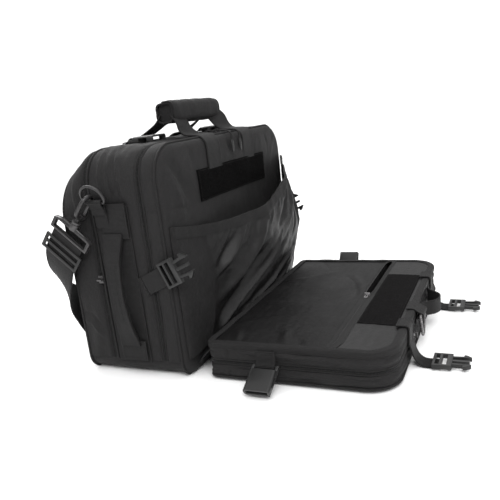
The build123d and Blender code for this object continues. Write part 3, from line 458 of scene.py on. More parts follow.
def bump(tree, height, distance, before=None):
    inputs = {"Height": height, "Distance": distance, "Strength": 1.0}
    if before is not None:
        inputs["Normal"] = before
    return node(tree, "ShaderNodeBump", inputs).outputs["Normal"]


def threads(tree, pitch, direction, lean=0.0):
    """Waves of one set of threads in the weave map, pitch in mm."""
    uv = node(tree, "ShaderNodeUVMap", uv_map=WEAVE_MAP).outputs["UV"]
    turned = node(tree, "ShaderNodeMapping", {"Vector": uv, "Rotation": (0, 0, lean)}).outputs["Vector"]
    scale = 2 * math.pi / (20 * pitch * MM)
    inputs = {"Vector": turned, "Scale": scale, "Distortion": 0.35, "Detail": 1.0, "Detail Scale": 2.0}
    return node(tree, "ShaderNodeTexWave", inputs, wave_type="BANDS", bands_direction=direction).outputs["Fac"]


def woven(name, dark, light, rough, pitch, relief, sheen=0.0, coat=0.0, lean=0.0, ribs=0.5, dents=0.0005,
          shine=0.2):
    """Woven nylon: two sets of threads with painted shade between them, uneven dye and dust, a bump a thread high
    and soft dents.
    """
    material, tree, shader, place = start_material(name)
    warp = threads(tree, pitch, "X", lean)
    weft = threads(tree, pitch * 1.15, "Y", lean)
    cross = weighted(tree, warp, ribs, weft, 1 - ribs)
    clouds = noise(tree, place, 22, 4.0)
    grain = noise(tree, place, 900, 3.0, 0.75)
    dye = between(tree, clouds, 0.0, 1.0)
    tone = mix(tree, dye, grey(dark, 0.06), grey(light, 0.06))
    worn = mix(tree, between(tree, grain, 0.0, 0.8, 0.45, 0.75), tone, grey(light * 2.6, 0.05))
    # Painted shade: the colour darkens towards dark * 0.35 where the threads dip, between them.
    painted_thread_shade = mix(tree, between(tree, cross, 0.5, 0.0, 0.2, 0.8), worn, grey(dark * 0.35))
    soft = bump(tree, noise(tree, place, 140, 3.0), dents)
    weave = bump(tree, math_node(tree, "ADD", cross, math_node(tree, "MULTIPLY", grain, 0.35)), relief * MM, soft)
    feed(tree, shader, {"Base Color": painted_thread_shade, "Roughness": between(tree, clouds, rough - 0.06, rough + 0.06),
                        "Normal": weave, "Specular IOR Level": shine, "Sheen Weight": sheen,
                        "Sheen Roughness": 0.5, "Coat Weight": coat, "Coat Roughness": 0.32})
    return material


def pile(name, dark, light, scale, relief, cell):
    """Loop or hook tape: close tufts with bright flecks between them."""
    material, tree, shader, place = start_material(name)
    cells = node(tree, "ShaderNodeTexVoronoi", {"Vector": place, "Scale": cell, "Randomness": 0.9})
    tufts = cells.outputs["Distance"]
    fluff = noise(tree, place, scale, 4.0, 0.7)
    mixed = weighted(tree, tufts, 0.6, fluff, 0.7)
    colour = mix(tree, between(tree, mixed, 0.0, 1.0, 0.35, 0.9), grey(dark, 0.05), grey(light, 0.08))
    feed(tree, shader, {"Base Color": colour, "Roughness": between(tree, fluff, 0.85, 1.0),
                        "Normal": bump(tree, mixed, relief * MM), "Specular IOR Level": 0.05})
    return material


def moulded(name, dark, light, rough, coat=0.0):
    """Satin moulded plastic: fine spark texture, cloudy gloss and paler rubbed edges."""
    material, tree, shader, place = start_material(name)
    clouds = noise(tree, place, 60, 4.0)
    grain = noise(tree, place, 900, 2.0)
    edge = node(tree, "ShaderNodeNewGeometry").outputs["Pointiness"]
    tone = mix(tree, between(tree, clouds, 0.0, 1.0), grey(dark), grey(light))
    rubbed = mix(tree, between(tree, edge, 0.0, 0.6, 0.53, 0.62), tone, grey(light * 3.2))
    feed(tree, shader, {"Base Color": rubbed, "Roughness": between(tree, clouds, rough - 0.06, rough + 0.08),
                        "Normal": bump(tree, grain, 0.05 * MM), "Specular IOR Level": 0.3,
                        "Coat Weight": coat, "Coat Roughness": 0.2})
    return material


def enamelled(name, dark, steel, rough, wear):
    """Black enamel over steel: worn through to metal on its edges and where things rub."""
    material, tree, shader, place = start_material(name)
    scratches = noise(tree, place, 420, 6.0, 0.7)
    clouds = noise(tree, place, 90, 3.0)
    edge = node(tree, "ShaderNodeNewGeometry").outputs["Pointiness"]
    rub = math_node(tree, "ADD", between(tree, edge, 0.0, 0.7, 0.5, 0.6),
                    between(tree, scratches, 0.0, wear, 0.5, 0.7))
    bare = node(tree, "ShaderNodeClamp", {"Value": rub}).outputs["Result"]
    feed(tree, shader, {"Base Color": mix(tree, bare, grey(dark, 0.05), grey(steel, 0.04)),
                        "Metallic": between(tree, bare, 0.25, 1.0, 0.0, 1.0),
                        "Roughness": between(tree, clouds, rough - 0.05, rough + 0.1),
                        "Normal": bump(tree, scratches, 0.04 * MM)})
    return material


LOOKS = {
    "cordura": woven("coated nylon cloth", 0.0085, 0.0125, 0.70, 0.9, 0.22, sheen=0.015, dents=0.0006),
    "lining": woven("glossy lining cloth", 0.0055, 0.008, 0.47, 0.45, 0.06, coat=0.02, dents=0.0005, shine=0.26),
    "webbing": woven("nylon webbing", 0.0065, 0.0105, 0.62, 1.5, 0.45, sheen=0.015, ribs=0.8, dents=0.0003),
    "padding": woven("padded nylon", 0.0085, 0.012, 0.70, 0.9, 0.22, sheen=0.015, dents=0.0008),
    "loop_pile": pile("loop pile", 0.0008, 0.0035, 900, 0.9, 700),
    "hook_tape": pile("hook tape", 0.002, 0.008, 1600, 0.5, 520),
    "zipper_coil": moulded("zipper coil nylon", 0.005, 0.009, 0.42),
    "buckle_plastic": moulded("buckle plastic", 0.007, 0.012, 0.36, coat=0.08),
    "black_metal": enamelled("black enamelled steel", 0.010, 0.14, 0.32, 0.3),
    "dark_wire": enamelled("gunmetal wire", 0.06, 0.40, 0.24, 0.8),
}
# A darker, less shiny copy of the lining for the pouch's top: its darker colour is painted shade.
LINING_SHADED = woven("pouch lining cloth with painted shade", 0.0042, 0.0062, 0.52, 0.45, 0.06, dents=0.0005, shine=0.16)
THREAD = woven("sewing thread", 0.010, 0.020, 0.6, 0.6, 0.1, dents=0.0002)
TAPE = woven("binding tape", 0.007, 0.011, 0.64, 1.1, 0.35, sheen=0.015, ribs=0.75, dents=0.0004)
CORD = woven("braided cord", 0.006, 0.010, 0.55, 1.0, 0.3, dents=0.0002)


# ---------------------------------------------------------------- outlines
def arc(centre, radius, first, last, count):
    angle = np.radians(np.linspace(first, last, count))
    normal = np.stack([np.cos(angle), np.sin(angle)], 1)
    return np.array(centre) + radius * normal, normal


def run(a, b, normal, count):
    t = np.linspace(0, 1, count + 2)[1:-1, None]
    return np.array(a) * (1 - t) + np.array(b) * t, np.repeat(np.array([normal], float), count, 0)


def join(*parts):
    return np.concatenate([p for p, _ in parts]), np.concatenate([n for _, n in parts])


def over_path(top, radius):
    """Up the left side from the tray, over the top and down the right side: points and outward normals."""
    side = np.array([[-HALF, TRAY_Z]]), np.array([[-1.0, 0]])
    other = np.array([[HALF, TRAY_Z]]), np.array([[1.0, 0]])
    shoulder = top - radius
    return join(side, run((-HALF, TRAY_Z), (-HALF, shoulder), (-1, 0), 76),
                arc((-HALF + radius, shoulder), radius, 180, 90, 18),
                run((-HALF + radius, top), (HALF - radius, top), (0, 1), 96),
                arc((HALF - radius, shoulder), radius, 90, 0, 18),
                run((HALF, shoulder), (HALF, TRAY_Z), (1, 0), 76), other)


def under_path():
    """Down the right side of the tray, along the base to the left and up its left side."""
    r = TRAY_Z
    return join(arc((HALF - r, r), r, 0, -90, 12), run((HALF - r, 0), (-HALF + r, 0), (0, -1), 90),
                arc((-HALF + r, r), r, 270, 180, 12))


def flap_path(inset=0.0):
    """Round the pouch, anticlockwise seen from above, starting at the middle of its free end."""
    half, near, far = FLAP_HALF - inset, FLAP_Y[0] + inset, FLAP_Y[1] - inset
    a, b = FLAP_END_CORNER - inset, FLAP_HINGE_CORNER - inset
    return join(run((0, near), (half - a, near), (0, -1), 40), arc((half - a, near + a), a, 270, 360, 18),
                run((half, near + a), (half, far - b), (1, 0), 60), arc((half - b, far - b), b, 0, 90, 8),
                run((half - b, far), (-half + b, far), (0, 1), 100), arc((-half + b, far - b), b, 90, 180, 8),
                run((-half, far - b), (-half, near + a), (-1, 0), 60), arc((-half + a, near + a), a, 180, 270, 18),
                run((-half + a, near), (0, near), (0, -1), 40))


def reach_of(path):
    """Distance along a path to each of its points."""
    return np.concatenate([[0], np.cumsum(np.linalg.norm(np.diff(path[0], axis=0), axis=1))])


def bag_band(front, back, y_range, columns, offset):
    """A band of cloth between two upright outlines; offset(s, t) stands off the straight run between them."""
    t = np.linspace(0, 1, columns)[None, :]
    s = reach_of(front)[:, None]
    blend = t[..., None]
    point = front[0][:, None] * (1 - blend) + back[0][:, None] * blend
    normal = unit(front[1][:, None] * (1 - blend) + back[1][:, None] * blend)
    point = point + normal * offset(s, t)[..., None]
    y = np.broadcast_to(y_range[0] + (y_range[1] - y_range[0]) * t, point.shape[:2])
    return np.stack([point[..., 0], y, point[..., 1]], -1)


def flap_band(z_range, rows, offset):
    """A band of cloth round the pouch between two heights."""
    points, normals = flap_path()
    s = reach_of((points, normals))[:, None]
    t = np.linspace(0, 1, rows)[None, :]
    out = offset(s, t)[..., None]
    point = points[:, None] + normals[:, None] * out
    z = np.broadcast_to(z_range[0] + (z_range[1] - z_range[0]) * t, point.shape[:2])
    return np.concatenate([point, z[..., None]], -1)


def rounded_panel(half, low_b, high_b, low_r, high_r, columns, rows):
    """Grid of (a, b) places filling a rounded rectangle, with each place's distance in from its edge."""
    even, bunched = np.linspace(0, 1, rows), (1 - np.cos(np.linspace(0, math.pi, rows))) / 2
    b = low_b + (high_b - low_b) * (0.45 * even + 0.55 * bunched)
    low_in = np.clip(low_r - (b - low_b), 0, low_r)
    high_in = np.clip(high_r - (high_b - b), 0, high_r)
    width = half - low_r + np.sqrt(low_r**2 - low_in**2) - high_r + np.sqrt(high_r**2 - high_in**2)
    a = np.linspace(-1, 1, columns)
    a = (0.5 * a + 0.5 * np.sin(a * math.pi / 2))[:, None] * width[None, :]
    b = np.broadcast_to(b, a.shape)
    inside = np.minimum(half - np.abs(a), np.minimum(b - low_b, high_b - b))
    ends = ((low_r, low_b + low_r, b < low_b + low_r), (high_r, high_b - high_r, b > high_b - high_r))
    for radius, centre, zone in ends:
        corner = zone & (np.abs(a) > half - radius)
        inside = np.where(corner, radius - np.hypot(np.abs(a) - half + radius, b - centre), inside)
    return a, b, np.maximum(inside, 0)


def shoulder(inside, reach, depth):
    """How far a padded panel has risen from its seam: a quarter round of that reach and depth."""
    q = np.clip(inside / reach, 0, 1)
    return depth * np.sqrt(np.clip(1 - (1 - q) ** 2, 0, 1))


# ---------------------------------------------------------------- main bag
def front_dents(x, z):
    """Soft folds of the front cloth, outward positive."""
    return creased(1.0 * ripple(x, z, 3, 60, 1.4) + 0.3 * ripple(x, z, 4, 17, 2.0), x, z, [
        ([(-178, 276), (-150, 246), (-128, 214)], 4.5, -3.6, 2.2),
        ([(-170, 252), (-158, 226), (-152, 190)], 7, 3.2),
        ([(-120, 286), (-112, 262), (-110, 236)], 5, -1.8, 1.8),
        ([(-186, 216), (-160, 212), (-132, 208)], 3, -1.6),
        ([(-16, 286), (-4, 270), (2, 254)], 4, -1.5),
        ([(170, 270), (140, 240), (128, 205)], 7, 1.8, 0.6),
        ([(120, 284), (132, 262), (128, 244)], 4, -1.8)])


def edge_distance(x, z):
    """How far a place on the front panel is in from its outline."""
    inside = np.minimum(HALF - np.abs(x), np.minimum(TOP - z, z))
    for radius, centre, zone in ((TRAY_Z, TRAY_Z, z < TRAY_Z), (CORNER, TOP - CORNER, z > TOP - CORNER)):
        corner = zone & (np.abs(x) > HALF - radius)
        inside = np.where(corner, radius - np.hypot(np.abs(x) - HALF + radius, z - centre), inside)
    return np.maximum(inside, 0)


def front_y(x, z):
    """Outer face of the padded front panel."""
    x, z = np.asarray(x, float), np.asarray(z, float)
    inside = edge_distance(x, z)
    fade = np.clip((inside - 2) / 16, 0, 1)
    return SEAM_Y - shoulder(inside, 11, 8.2) - fade * (0.8 + front_dents(x, z))


def front_panel():
    x, z, _ = rounded_panel(HALF, 0, TOP, TRAY_Z, CORNER, 150, 120)
    cloth("front_panel_cloth", points_of(x, front_y(x, z), z), 1.6, "cordura", "bag", "front_panel",
          held="stretched", rests=["front_gusset"])


def seam_cord(name, path, y, stand, radius):
    """Piping along a seam of the bag."""
    points, normals = path
    line = points + normals * stand
    line[:, 1] = np.maximum(line[:, 1], radius)
    tube(name, points_of(line[:, 0], y, line[:, 1]), radius, TAPE, "bag", smooth=False, sides=8, slot="webbing")


def gussets():
    path, base = over_path(TOP, CORNER), under_path()
    rear = over_path(REAR_TOP, REAR_CORNER)
    length = reach_of(path)[-1]

    def front_offset(s, t):
        out = crown(t, 21, 1.5, 1.2) + 0.35 * ripple(s, t * 21, 11, 26, 1.0)
        return creased(out, s, t * 21, [([(194, 1), (195, 20)], 1.6, -1.6), ([(198, 3), (198, 18)], 1.8, 1.2)])

    def middle_offset(s, t):
        y = ZIP_Y[1] + t * (REAR_ZIP_Y[0] - ZIP_Y[1])
        fade = np.sin(np.pi * t) ** 0.5
        out = 0.8 * ripple(s / 5, y, 21, 16) * fade + 0.4 * ripple(s, y, 22, 34)
        for side in (0, 1):
            out = creased(out, length - s if side else s, y, [
                ([(205, -24), (240, -20), (285, -8)], 3.2, 2.8, 0.6),
                ([(190, 12), (232, 8), (300, 14)], 3.6, 3.0, 0.6),
                ([(214, -6), (246, -4), (262, 2)], 3.0, -2.6),
                ([(20, -30), (70, -34), (120, -30)], 4.0, 1.6)])
        low_down = np.clip((214 - np.minimum(s, length - s)) / 10, 0, 1)
        under_webbing = np.clip((29 - np.abs(y + 2)) / 6, 0, 1) * low_down
        return crown(t, 70, 1.8, 2.6) * (1 - 0.8 * under_webbing) + out * (1 - under_webbing)

    def rear_offset(s, t):
        y = t * 38
        out = 0.9 * ripple(s / 4, y, 31, 18) + 0.5 * ripple(s, y, 32, 60)
        for side in (0, 1):
            out = creased(out, length - s if side else s, y, [
                ([(150, 20), (215, 12), (262, 18)], 4.0, 2.2, 0.6),
                ([(30, 8), (52, 22), (60, 36)], 3.0, 2.0, 0.5),
                ([(38, 4), (64, 18), (74, 34)], 2.5, -1.6)])
        return crown(t, 38, 1.2, 2.4) + out * np.sin(np.pi * t) ** 0.5

    def base_offset(s, t):
        lift = np.clip((s - 30) / 40, 0, 1) * np.clip((reach_of(base)[-1] - s - 30) / 40, 0, 1)
        return 0.4 * ripple(s, t * 145, 41, 40) * (1 - 0.8 * lift) - 0.6

    for name, stands_for, front, back, y_range, columns, offset, held, under in (
            ("front_gusset", "front_gusset", path, path, (SEAM_Y, ZIP_Y[0]), 12, front_offset, "stretched",
             "front_panel_cloth"),
            ("middle_gusset", "middle_gusset", path, path, (ZIP_Y[1], REAR_ZIP_Y[0]), 34, middle_offset,
             "stretched", "base_cloth"),
            ("rear_gusset", "rear_gusset", path, rear, (REAR_ZIP_Y[1], PANEL_Y[0]), 22, rear_offset, "stretched",
             "base_cloth"),
            ("base", "base_panel", base, base, (SEAM_Y, PANEL_Y[0]), 50, base_offset, "laid", "floor")):
        cloth(name + "_cloth", bag_band(front, back, y_range, columns, offset), 1.6, "cordura", "bag", stands_for,
              held=held, rests=[under])
    ring = join(path, (base[0][1:-1], base[1][1:-1]))
    seam_cord("front_seam_piping", ring_closed(ring), SEAM_Y - 0.2, 0.5, 1.7)
    seam_cord("middle_seam_piping", path, REAR_ZIP_Y[0] - 1.2, 0.6, 1.7)
    rear_ring = join(rear, (base[0][1:-1], base[1][1:-1]))
    seam_cord("rear_front_piping", ring_closed(rear_ring), PANEL_Y[0] - 0.4, 0.2, 1.8)


def ring_closed(ring):
    """The same ring with its first point again at its end."""
    return np.concatenate([ring[0], ring[0][:1]]), np.concatenate([ring[1], ring[1][:1]])


QUILT_ROWS = (REAR_TOP * 0.34, REAR_TOP * 0.67)


def rear_panel():
    """The padded back, quilted in three channels."""
    x, z, inside = rounded_panel(HALF, 0, REAR_TOP, TRAY_Z, REAR_CORNER, 120, 100)
    rows = 0
    for line in QUILT_ROWS:
        rows = rows + np.exp(-(((z - line) / 3.0) ** 2))
    puff = 1.6 * np.clip(inside / 30, 0, 1) + 0.5 * ripple(x, z, 51, 70)
    y = PANEL_Y[0] - 1 + shoulder(inside, 12, 7.0) + puff - 2.4 * rows * np.clip(inside / 12, 0, 1)
    grid = points_of(x, y, z)[::-1]
    pad = cloth("rear_panel_pad", grid, 5.0, "padding", "bag", "rear_panel")
    for line in QUILT_ROWS:
        at = np.linspace(-HALF + 14, HALF - 14, 60)
        stitch("bag", points_of(at, PANEL_Y[1] - 0.4, line), (0, 1, 0))


def zipper_teeth(name, line, up, across, size, body, closed=False):
    places, _, carried = spaced(line, up, 1.55, closed)
    _, _, direction = spaced(line, across, 1.55, closed)
    little_ones(name, places, direction, carried, size, "zipper_coil", body)


def bag_zipper(name, y_range):
    """Two tapes that roll up beside a sunk coil, over the top of the bag."""
    path = over_path(TOP, CORNER)
    width = y_range[1] - y_range[0]

    def offset(s, t):
        ridge = 1.5 * np.exp(-(((t - 0.2) * width) ** 2)) + 1.5 * np.exp(-(((t - 0.8) * width) ** 2))
        return -1.4 + ridge + 0 * s

    cloth(name + "_tape", bag_band(path, path, y_range, 17, offset), 1.2, TAPE, "bag", name, slot="zipper_coil")
    line = path[0] - path[1] * 0.9
    points = points_of(line[:, 0], sum(y_range) / 2, line[:, 1])
    up = points_of(path[1][:, 0], 0.0, path[1][:, 1])
    zipper_teeth(name + "_teeth", points, up, (0, 1, 0), (3.0, 1.1, 1.3), "bag")


# ---------------------------------------------------------------- slip pocket on the front
MOUTH = [(-190, 194), (-110, 181), (-45, 179), (15, 183), (77, 204), (140, 224), (190, 236)]
POCKET_SEAM = [(28, -130), (65, -118), (100, -112), (132, -112), (165, -118), (196, -124)]
BULGE = [(26, 3), (60, 17), (90, 29), (160, 40), (270, 28)]
BULGE_SHARE = [(-186, 0.0), (-130, 0.08), (-60, 0.52), (20, 0.93), (100, 1.0), (150, 0.84), (176, 0.42),
               (186, 0.0)]
POCKET_FOOT = 26.0
POCKET_FOLDS = [
    ([(-76, 168), (-92, 146), (-112, 124)], 4.5, 4.0, 0.6),
    ([(-40, 166), (-66, 138), (-92, 118), (-112, 106)], 6.0, 6.0, 0.5),
    ([(-56, 164), (-84, 136), (-106, 118)], 3.5, -3.0, 1.0),
    ([(14, 168), (-20, 128), (-58, 100), (-116, 68)], 11.0, 8.0, 0.5),
    ([(30, 130), (-24, 96), (-70, 66), (-122, 42)], 8.0, -6.0, 0.7),
    ([(66, 128), (20, 96), (-30, 74), (-84, 46), (-118, 30)], 4.0, 7.0, 0.45),
    ([(84, 118), (34, 82), (-20, 58), (-80, 36)], 5.0, -5.0, 0.8),
    ([(126, 92), (70, 62), (0, 44), (-70, 30)], 3.6, 6.0, 0.5),
    ([(150, 72), (90, 42), (10, 30)], 4.0, 4.5, 0.6),
    ([(96, 196), (70, 158), (44, 134)], 9.0, -5.0, 0.8),
    ([(132, 206), (112, 166), (84, 130)], 8.0, 5.0, 0.5),
    ([(152, 214), (146, 180), (128, 140), (110, 112)], 5.0, -5.0, 0.7),
    ([(170, 222), (168, 190), (160, 150), (150, 110)], 4.0, 5.0, 0.6),
    ([(176, 150), (164, 118), (150, 92)], 5.0, -4.0, 0.8),
]


def pocket_y(x, z):
    """Outer face of the pocket: bulging lining with long slanting folds and gathers under its mouth."""
    mouth = curve(MOUTH, x)
    hug = 1 - 0.72 * np.clip((x - 96) / 70, 0, 1) * np.clip((z - 130) / 70, 0, 1)
    depth = curve(BULGE, z) * np.clip(curve(BULGE_SHARE, x), 0, 2) * hug
    loose = np.clip((x - curve(POCKET_SEAM, z)) / 26, 0, 1) * np.clip((186 - x) / 16, 0, 1)
    folds = creased(0, x, z, POCKET_FOLDS)
    for k, start in enumerate(np.linspace(-98, 128, 11)):
        top = float(curve(MOUTH, start)) - 13
        reach = 20 + 9 * math.sin(k * 2.3)
        gather = [(start, top), (start - 0.5 * reach, top - reach)]
        folds = folds + crease(x, z, gather, 3.4, 1.7 + 0.7 * math.sin(k * 1.7), 0.7)
    folds = folds + 1.0 * ripple(x - 0.7 * z, (z + 0.7 * x) * 0.25, 61, 34) + 0.12 * ripple(x, z, 62, 14)
    calm = np.clip((mouth - z - 6) / 14, 0, 1) * np.clip((z - POCKET_FOOT) / 12, 0, 1)
    strip = 0.25 * ripple(x, z, 63, 22) * np.clip((z - POCKET_FOOT) / 12, 0, 1)
    return front_y(x, z) - 1.9 - depth - 1.25 * folds * loose * calm - strip - 0.9


def pocket_grid(left, right, columns, rows, lift=0.0, below_mouth=0.0, depth=None):
    """Grid over part of the pocket; left and right give x at a height."""
    z_share = np.linspace(0, 1, rows)[None, :]
    z = POCKET_FOOT + z_share * 150
    for _ in range(3):
        edge_l, edge_r = left(z), right(z)
        place = edge_l + (edge_r - edge_l) * np.linspace(0, 1, columns)[:, None]
        top = curve(MOUTH, place) - below_mouth
        foot = POCKET_FOOT if depth is None else top - depth
        z = foot + (top - foot) * z_share
    return points_of(place, pocket_y(place, z) - lift, z)


def crushes(piece):
    """Give the piece its own copy of its mesh."""
    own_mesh(piece)
    return piece


def slip_pocket():
    seam = lambda z: curve(POCKET_SEAM, z)
    lining = cloth("slip_pocket_lining", pocket_grid(seam, lambda z: 186 + 0 * z, 190, 120), 0.9, "lining",
                   "bag", "slip_pocket", held="gathered", rests=["front_panel_cloth"])
    crushes(lining)
    strip = pocket_grid(lambda z: -187 + 0 * z, seam, 50, 90, lift=0.5)
    crushes(cloth("slip_pocket_strip", strip, 1.2, "cordura", "bag", held="stretched",
                  rests=["front_panel_cloth"]))
    binding = pocket_grid(lambda z: -187 + 0 * z, lambda z: 187 + 0 * z, 170, 9, lift=1.5, below_mouth=-1.0,
                          depth=14.5)
    crushes(cloth("slip_pocket_tape", binding, 2.2, TAPE, "bag", "slip_pocket_binding", slot="webbing"))
    up = np.array([0, -1.0, 0])
    for row in (1, 3, 6):
        stitch("pocket", binding[:, row] + 0.25 * up, up)
    for shift in (-2.0, -5.0):
        z = np.linspace(POCKET_FOOT + 4, 176, 70)
        x = curve(POCKET_SEAM, z) + shift
        stitch("pocket", points_of(x, pocket_y(x, z) - 0.7, z), up)


def loop_patch():
    """Brushed pile sewn on the front, with its edge pressed in."""
    lo, hi = low("loop_patch"), high("loop_patch")
    x, z, edge = patch_grid(lo, hi, 2)
    fluff = 0.35 * ripple(x, z, 71, 5) + 0.25 * ripple(x, z, 72, 2.6)
    y = front_y(x, z) - 2.6 + 1.3 * np.exp(-((edge / 1.6) ** 2)) - fluff * np.clip(edge / 3, 0, 1)
    cloth("loop_patch_pile", np.stack([x, y, z], -1), 1.8, "loop_pile", "bag", "loop_patch")
    sewn_round("bag", lo[[0, 2]], hi[[0, 2]], 1.8, 40, lambda a, b: points_of(a, front_y(a, b) - 2.5, b),
               (0, -1, 0))


# ---------------------------------------------------------------- carrying handle
def handle():
    grip_low, grip_high = low("handle_wrap"), high("handle_wrap")
    leg_x = (low("handle_front_strap")[0] + 19, high("handle_front_strap")[0] - 19)
    centre_y, centre_z = middle("handle_wrap")[1:]
    radius = (grip_high[2] - grip_low[2]) / 2
    patch_top = high("loop_patch")[2]
    for name, x in zip(("left", "right"), leg_x):
        inward = 1 if x < 0 else -1
        on_panel = [(x, float(front_y(x, z)) - 1.6, z) for z in (patch_top - 3, 262, 274, 284)]
        front = on_panel + [(x, SEAM_Y - 1.5, TOP + 1.8), (x, SEAM_Y + 12, TOP + 3.6), (x, ZIP_Y[0] - 1, TOP + 5),
                            (x + inward * 2, ZIP_Y[1] - 1, TOP + 12),
                            (x + inward * 4, centre_y - radius * 0.95, TOP + 23),
                            (x + inward * 6, centre_y - radius * 0.55, centre_z - 6)]
        across = [(1, 0, 0)] * 7 + [(1, 0.1 * inward, 0.1), (1, 0.25 * inward, 0.2), (1, 0.3 * inward, 0.2)]
        widths = [38, 38, 38, 38, 38, 38, 38, 37, 35, 31]
        nodes = ("handle_front_strap",) if x < 0 else ()
        leg, made = strap("handle_front_leg_" + name, front, across, widths, 2.4, None, *nodes)
        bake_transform(leg)
        stitch_on_strap("bag", made, (-16.5, 16.5), 0.02, 0.4, 1.35)
        rear = [(x, PANEL_Y[1] + 2.5, REAR_TOP - 40), (x, PANEL_Y[1] + 2.5, REAR_TOP - 18),
                (x, PANEL_Y[1] + 1, REAR_TOP), (x, PANEL_Y[0], REAR_TOP + 5), (x, 56, 283),
                (x, REAR_ZIP_Y[1] + 2, TOP + 4.5),
                (x + inward * 2, 20, TOP + 10), (x + inward * 4, centre_y + radius * 0.95, TOP + 23),
                (x + inward * 6, centre_y + radius * 0.55, centre_z - 6)]
        across = [(1, 0, 0)] * 6 + [(1, -0.1 * inward, 0.1), (1, -0.25 * inward, 0.2), (1, -0.3 * inward, 0.2)]
        widths = [38, 38, 38, 38, 38, 38, 37, 35, 31]
        nodes = ("handle_rear_strap",) if x < 0 else ()
        leg, made = strap("handle_rear_leg_" + name, rear, across, widths, 2.4, None, *nodes)
        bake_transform(leg)
        stitch_on_strap("bag", made, (-16.5, 16.5), 0.02, 0.55, 1.35)
    grip(grip_low[0], grip_high[0], centre_y, centre_z, radius)


def grip(x_low, x_high, centre_y, centre_z, radius):
    """Padded sleeve with a bound cover folded over its front."""
    half = (x_high - x_low) / 2
    centre_x = (x_high + x_low) / 2

    def skin(x, angle, lift):
        end = np.clip((half - np.abs(x)) / 9, 0, 1)
        size = (radius - 2.2) * (0.86 + 0.14 * np.sqrt(1 - (1 - end) ** 2)) + lift
        size = size + 0.35 * ripple(x, angle * radius, 81, 22) - 0.5 * np.cos(4 * angle)
        square = (np.abs(np.cos(angle)) ** 3 + np.abs(np.sin(angle)) ** 3) ** (-1 / 3)
        out = size * (0.35 + 0.65 * square)
        return points_of(centre_x + x, centre_y + out * np.cos(angle), centre_z + out * np.sin(angle))

    angle = np.linspace(0, 2 * math.pi, 65)[:-1][:, None]
    x = np.linspace(-half + 1.5, half - 1.5, 70)[None, :]
    sleeve = cloth("handle_grip_sleeve", skin(x, angle, 0.0), 2.5, "padding", "handle", "handle_wrap",
                   wrap=True)
    roll = [(centre_x + d, centre_y, centre_z) for d in (-half + 5, -half / 3, half / 3, half - 5)]
    tube("handle_grip_core", roll, radius - 4.6, "padding", "handle", sides=28, step=20)
    a0, a1 = math.radians(62), math.radians(232)
    span_a = (a1 - a0) * radius
    a, b, inside = rounded_panel(half - 3, 0, span_a, 12, 12, 70, 44)
    lift = 0.6 + 2.0 * np.sin(np.clip(inside / 14, 0, 1) * math.pi / 2)
    cover = skin(-a, a0 + b / radius, lift)
    cloth("handle_grip_cover", cover, 1.6, "padding", "handle")
    tube("handle_grip_piping", rim_of(cover)[::2], 1.25, TAPE, "handle", slot="webbing", closed=True, step=2.5,
         sides=8)
    for share in (0.14, 0.86):
        xs = np.linspace(-half + 12, half - 12, 60)
        at = np.full(60, a0 + (a1 - a0) * share)
        line = skin(xs, at, 2.9)
        stitch("handle", line, (line - [0, centre_y, centre_z]) * [0, 1, 1])


# ---------------------------------------------------------------- sides of the bag
def mirrored(points, side):
    """Points chosen on the left side, or their copies on the right."""
    return [(x * side, y, z) for x, y, z in points]


def side_details():
    block_y = middle("side_webbing")[1]
    outer = low("side_webbing")[0]
    for name, side in (("left", 1), ("right", -1)):
        nodes = ("side_webbing",) if side == 1 else ()
        x = -HALF - 1.8
        base = mirrored([(x + 0.4, block_y, TRAY_Z - 2), (x, block_y, 60), (x, block_y, 120), (x, block_y, 180),
                         (x, block_y, 225)], side)
        _, made = strap("side_webbing_" + name, base, (0, 1, 0), 50, 1.7, "bag", *nodes)
        stitch_on_strap("bag", made, (-23, 23), 0.0, 1.0, 1.2)
        for part, z0, z1 in (("upper", 184, 227), ("lower", TRAY_Z + 1, 50)):
            shift = 5 if part == "upper" else 3
            layer = mirrored([(outer - 0.8, block_y - shift, z0), (outer - 1.2, block_y - shift, (z0 + z1) / 2),
                              (outer - 0.8, block_y - shift, z1)], side)
            _, made = strap(f"side_block_{part}_{name}", layer, (0, 1, 0), 38, 2.2, "bag")
            stitch_on_strap("bag", made, (-16, 16), 0.0, 1.0, 1.2)
            for z in (z0 + 4, z1 - 4):
                ys = np.linspace(block_y - shift - 15, block_y - shift + 15, 24)
                stitch("bag", points_of((outer - 2.3) * side, ys, z), (-side, 0, 0))
        grab = mirrored([(outer - 1.8, block_y, 190), (outer - 3.6, block_y, 180), (outer - 9, block_y + 1, 158),
                         (outer - 11.6, block_y + 1, 128), (outer - 11.6, block_y + 1, 106),
                         (outer - 9, block_y, 76), (outer - 3.6, block_y, 54), (outer - 1.8, block_y, 44)], side)
        widths = [30, 27, 23, 21, 21, 23, 27, 30]
        nodes = ("side_grab_handles",) if side == 1 else ()
        _, made = strap("side_grab_" + name, grab, (0, 1, 0), widths, 4.0, "bag", *nodes)
        stitch_on_strap("bag", made, (-3.0, 3.0), 0.25, 0.75, 2.2)
        ring_tab(name, side)
        top_tab(name, side)
        shoulder_web(name, side)


def ring_tab(name, side):
    """Webbing folded round the straight bar of a D-ring and sewn down on the side webbing."""
    bar_x, bar_z = -202.8, 230.0
    y = middle("d_ring_left")[1]
    path = [(-195.4, y, 198), (-197.0, y, 208), (-198.2, y, 219), (-199.2, y, 227), (bar_x + 2.9, y, bar_z + 1),
            (bar_x + 0.9, y, bar_z + 3.2), (bar_x - 1.8, y, bar_z + 2.7), (bar_x - 3.1, y, bar_z),
            (bar_x - 1.6, y, bar_z - 3.4), (bar_x + 1.2, y, bar_z - 8), (bar_x + 2.8, y, bar_z - 15)]
    nodes = ("webbing_tabs",) if side == 1 else ()
    strap("ring_tab_" + name, mirrored(path, side), (0, 1, 0), 19.5, 1.5, "bag", *nodes, step=1.2)


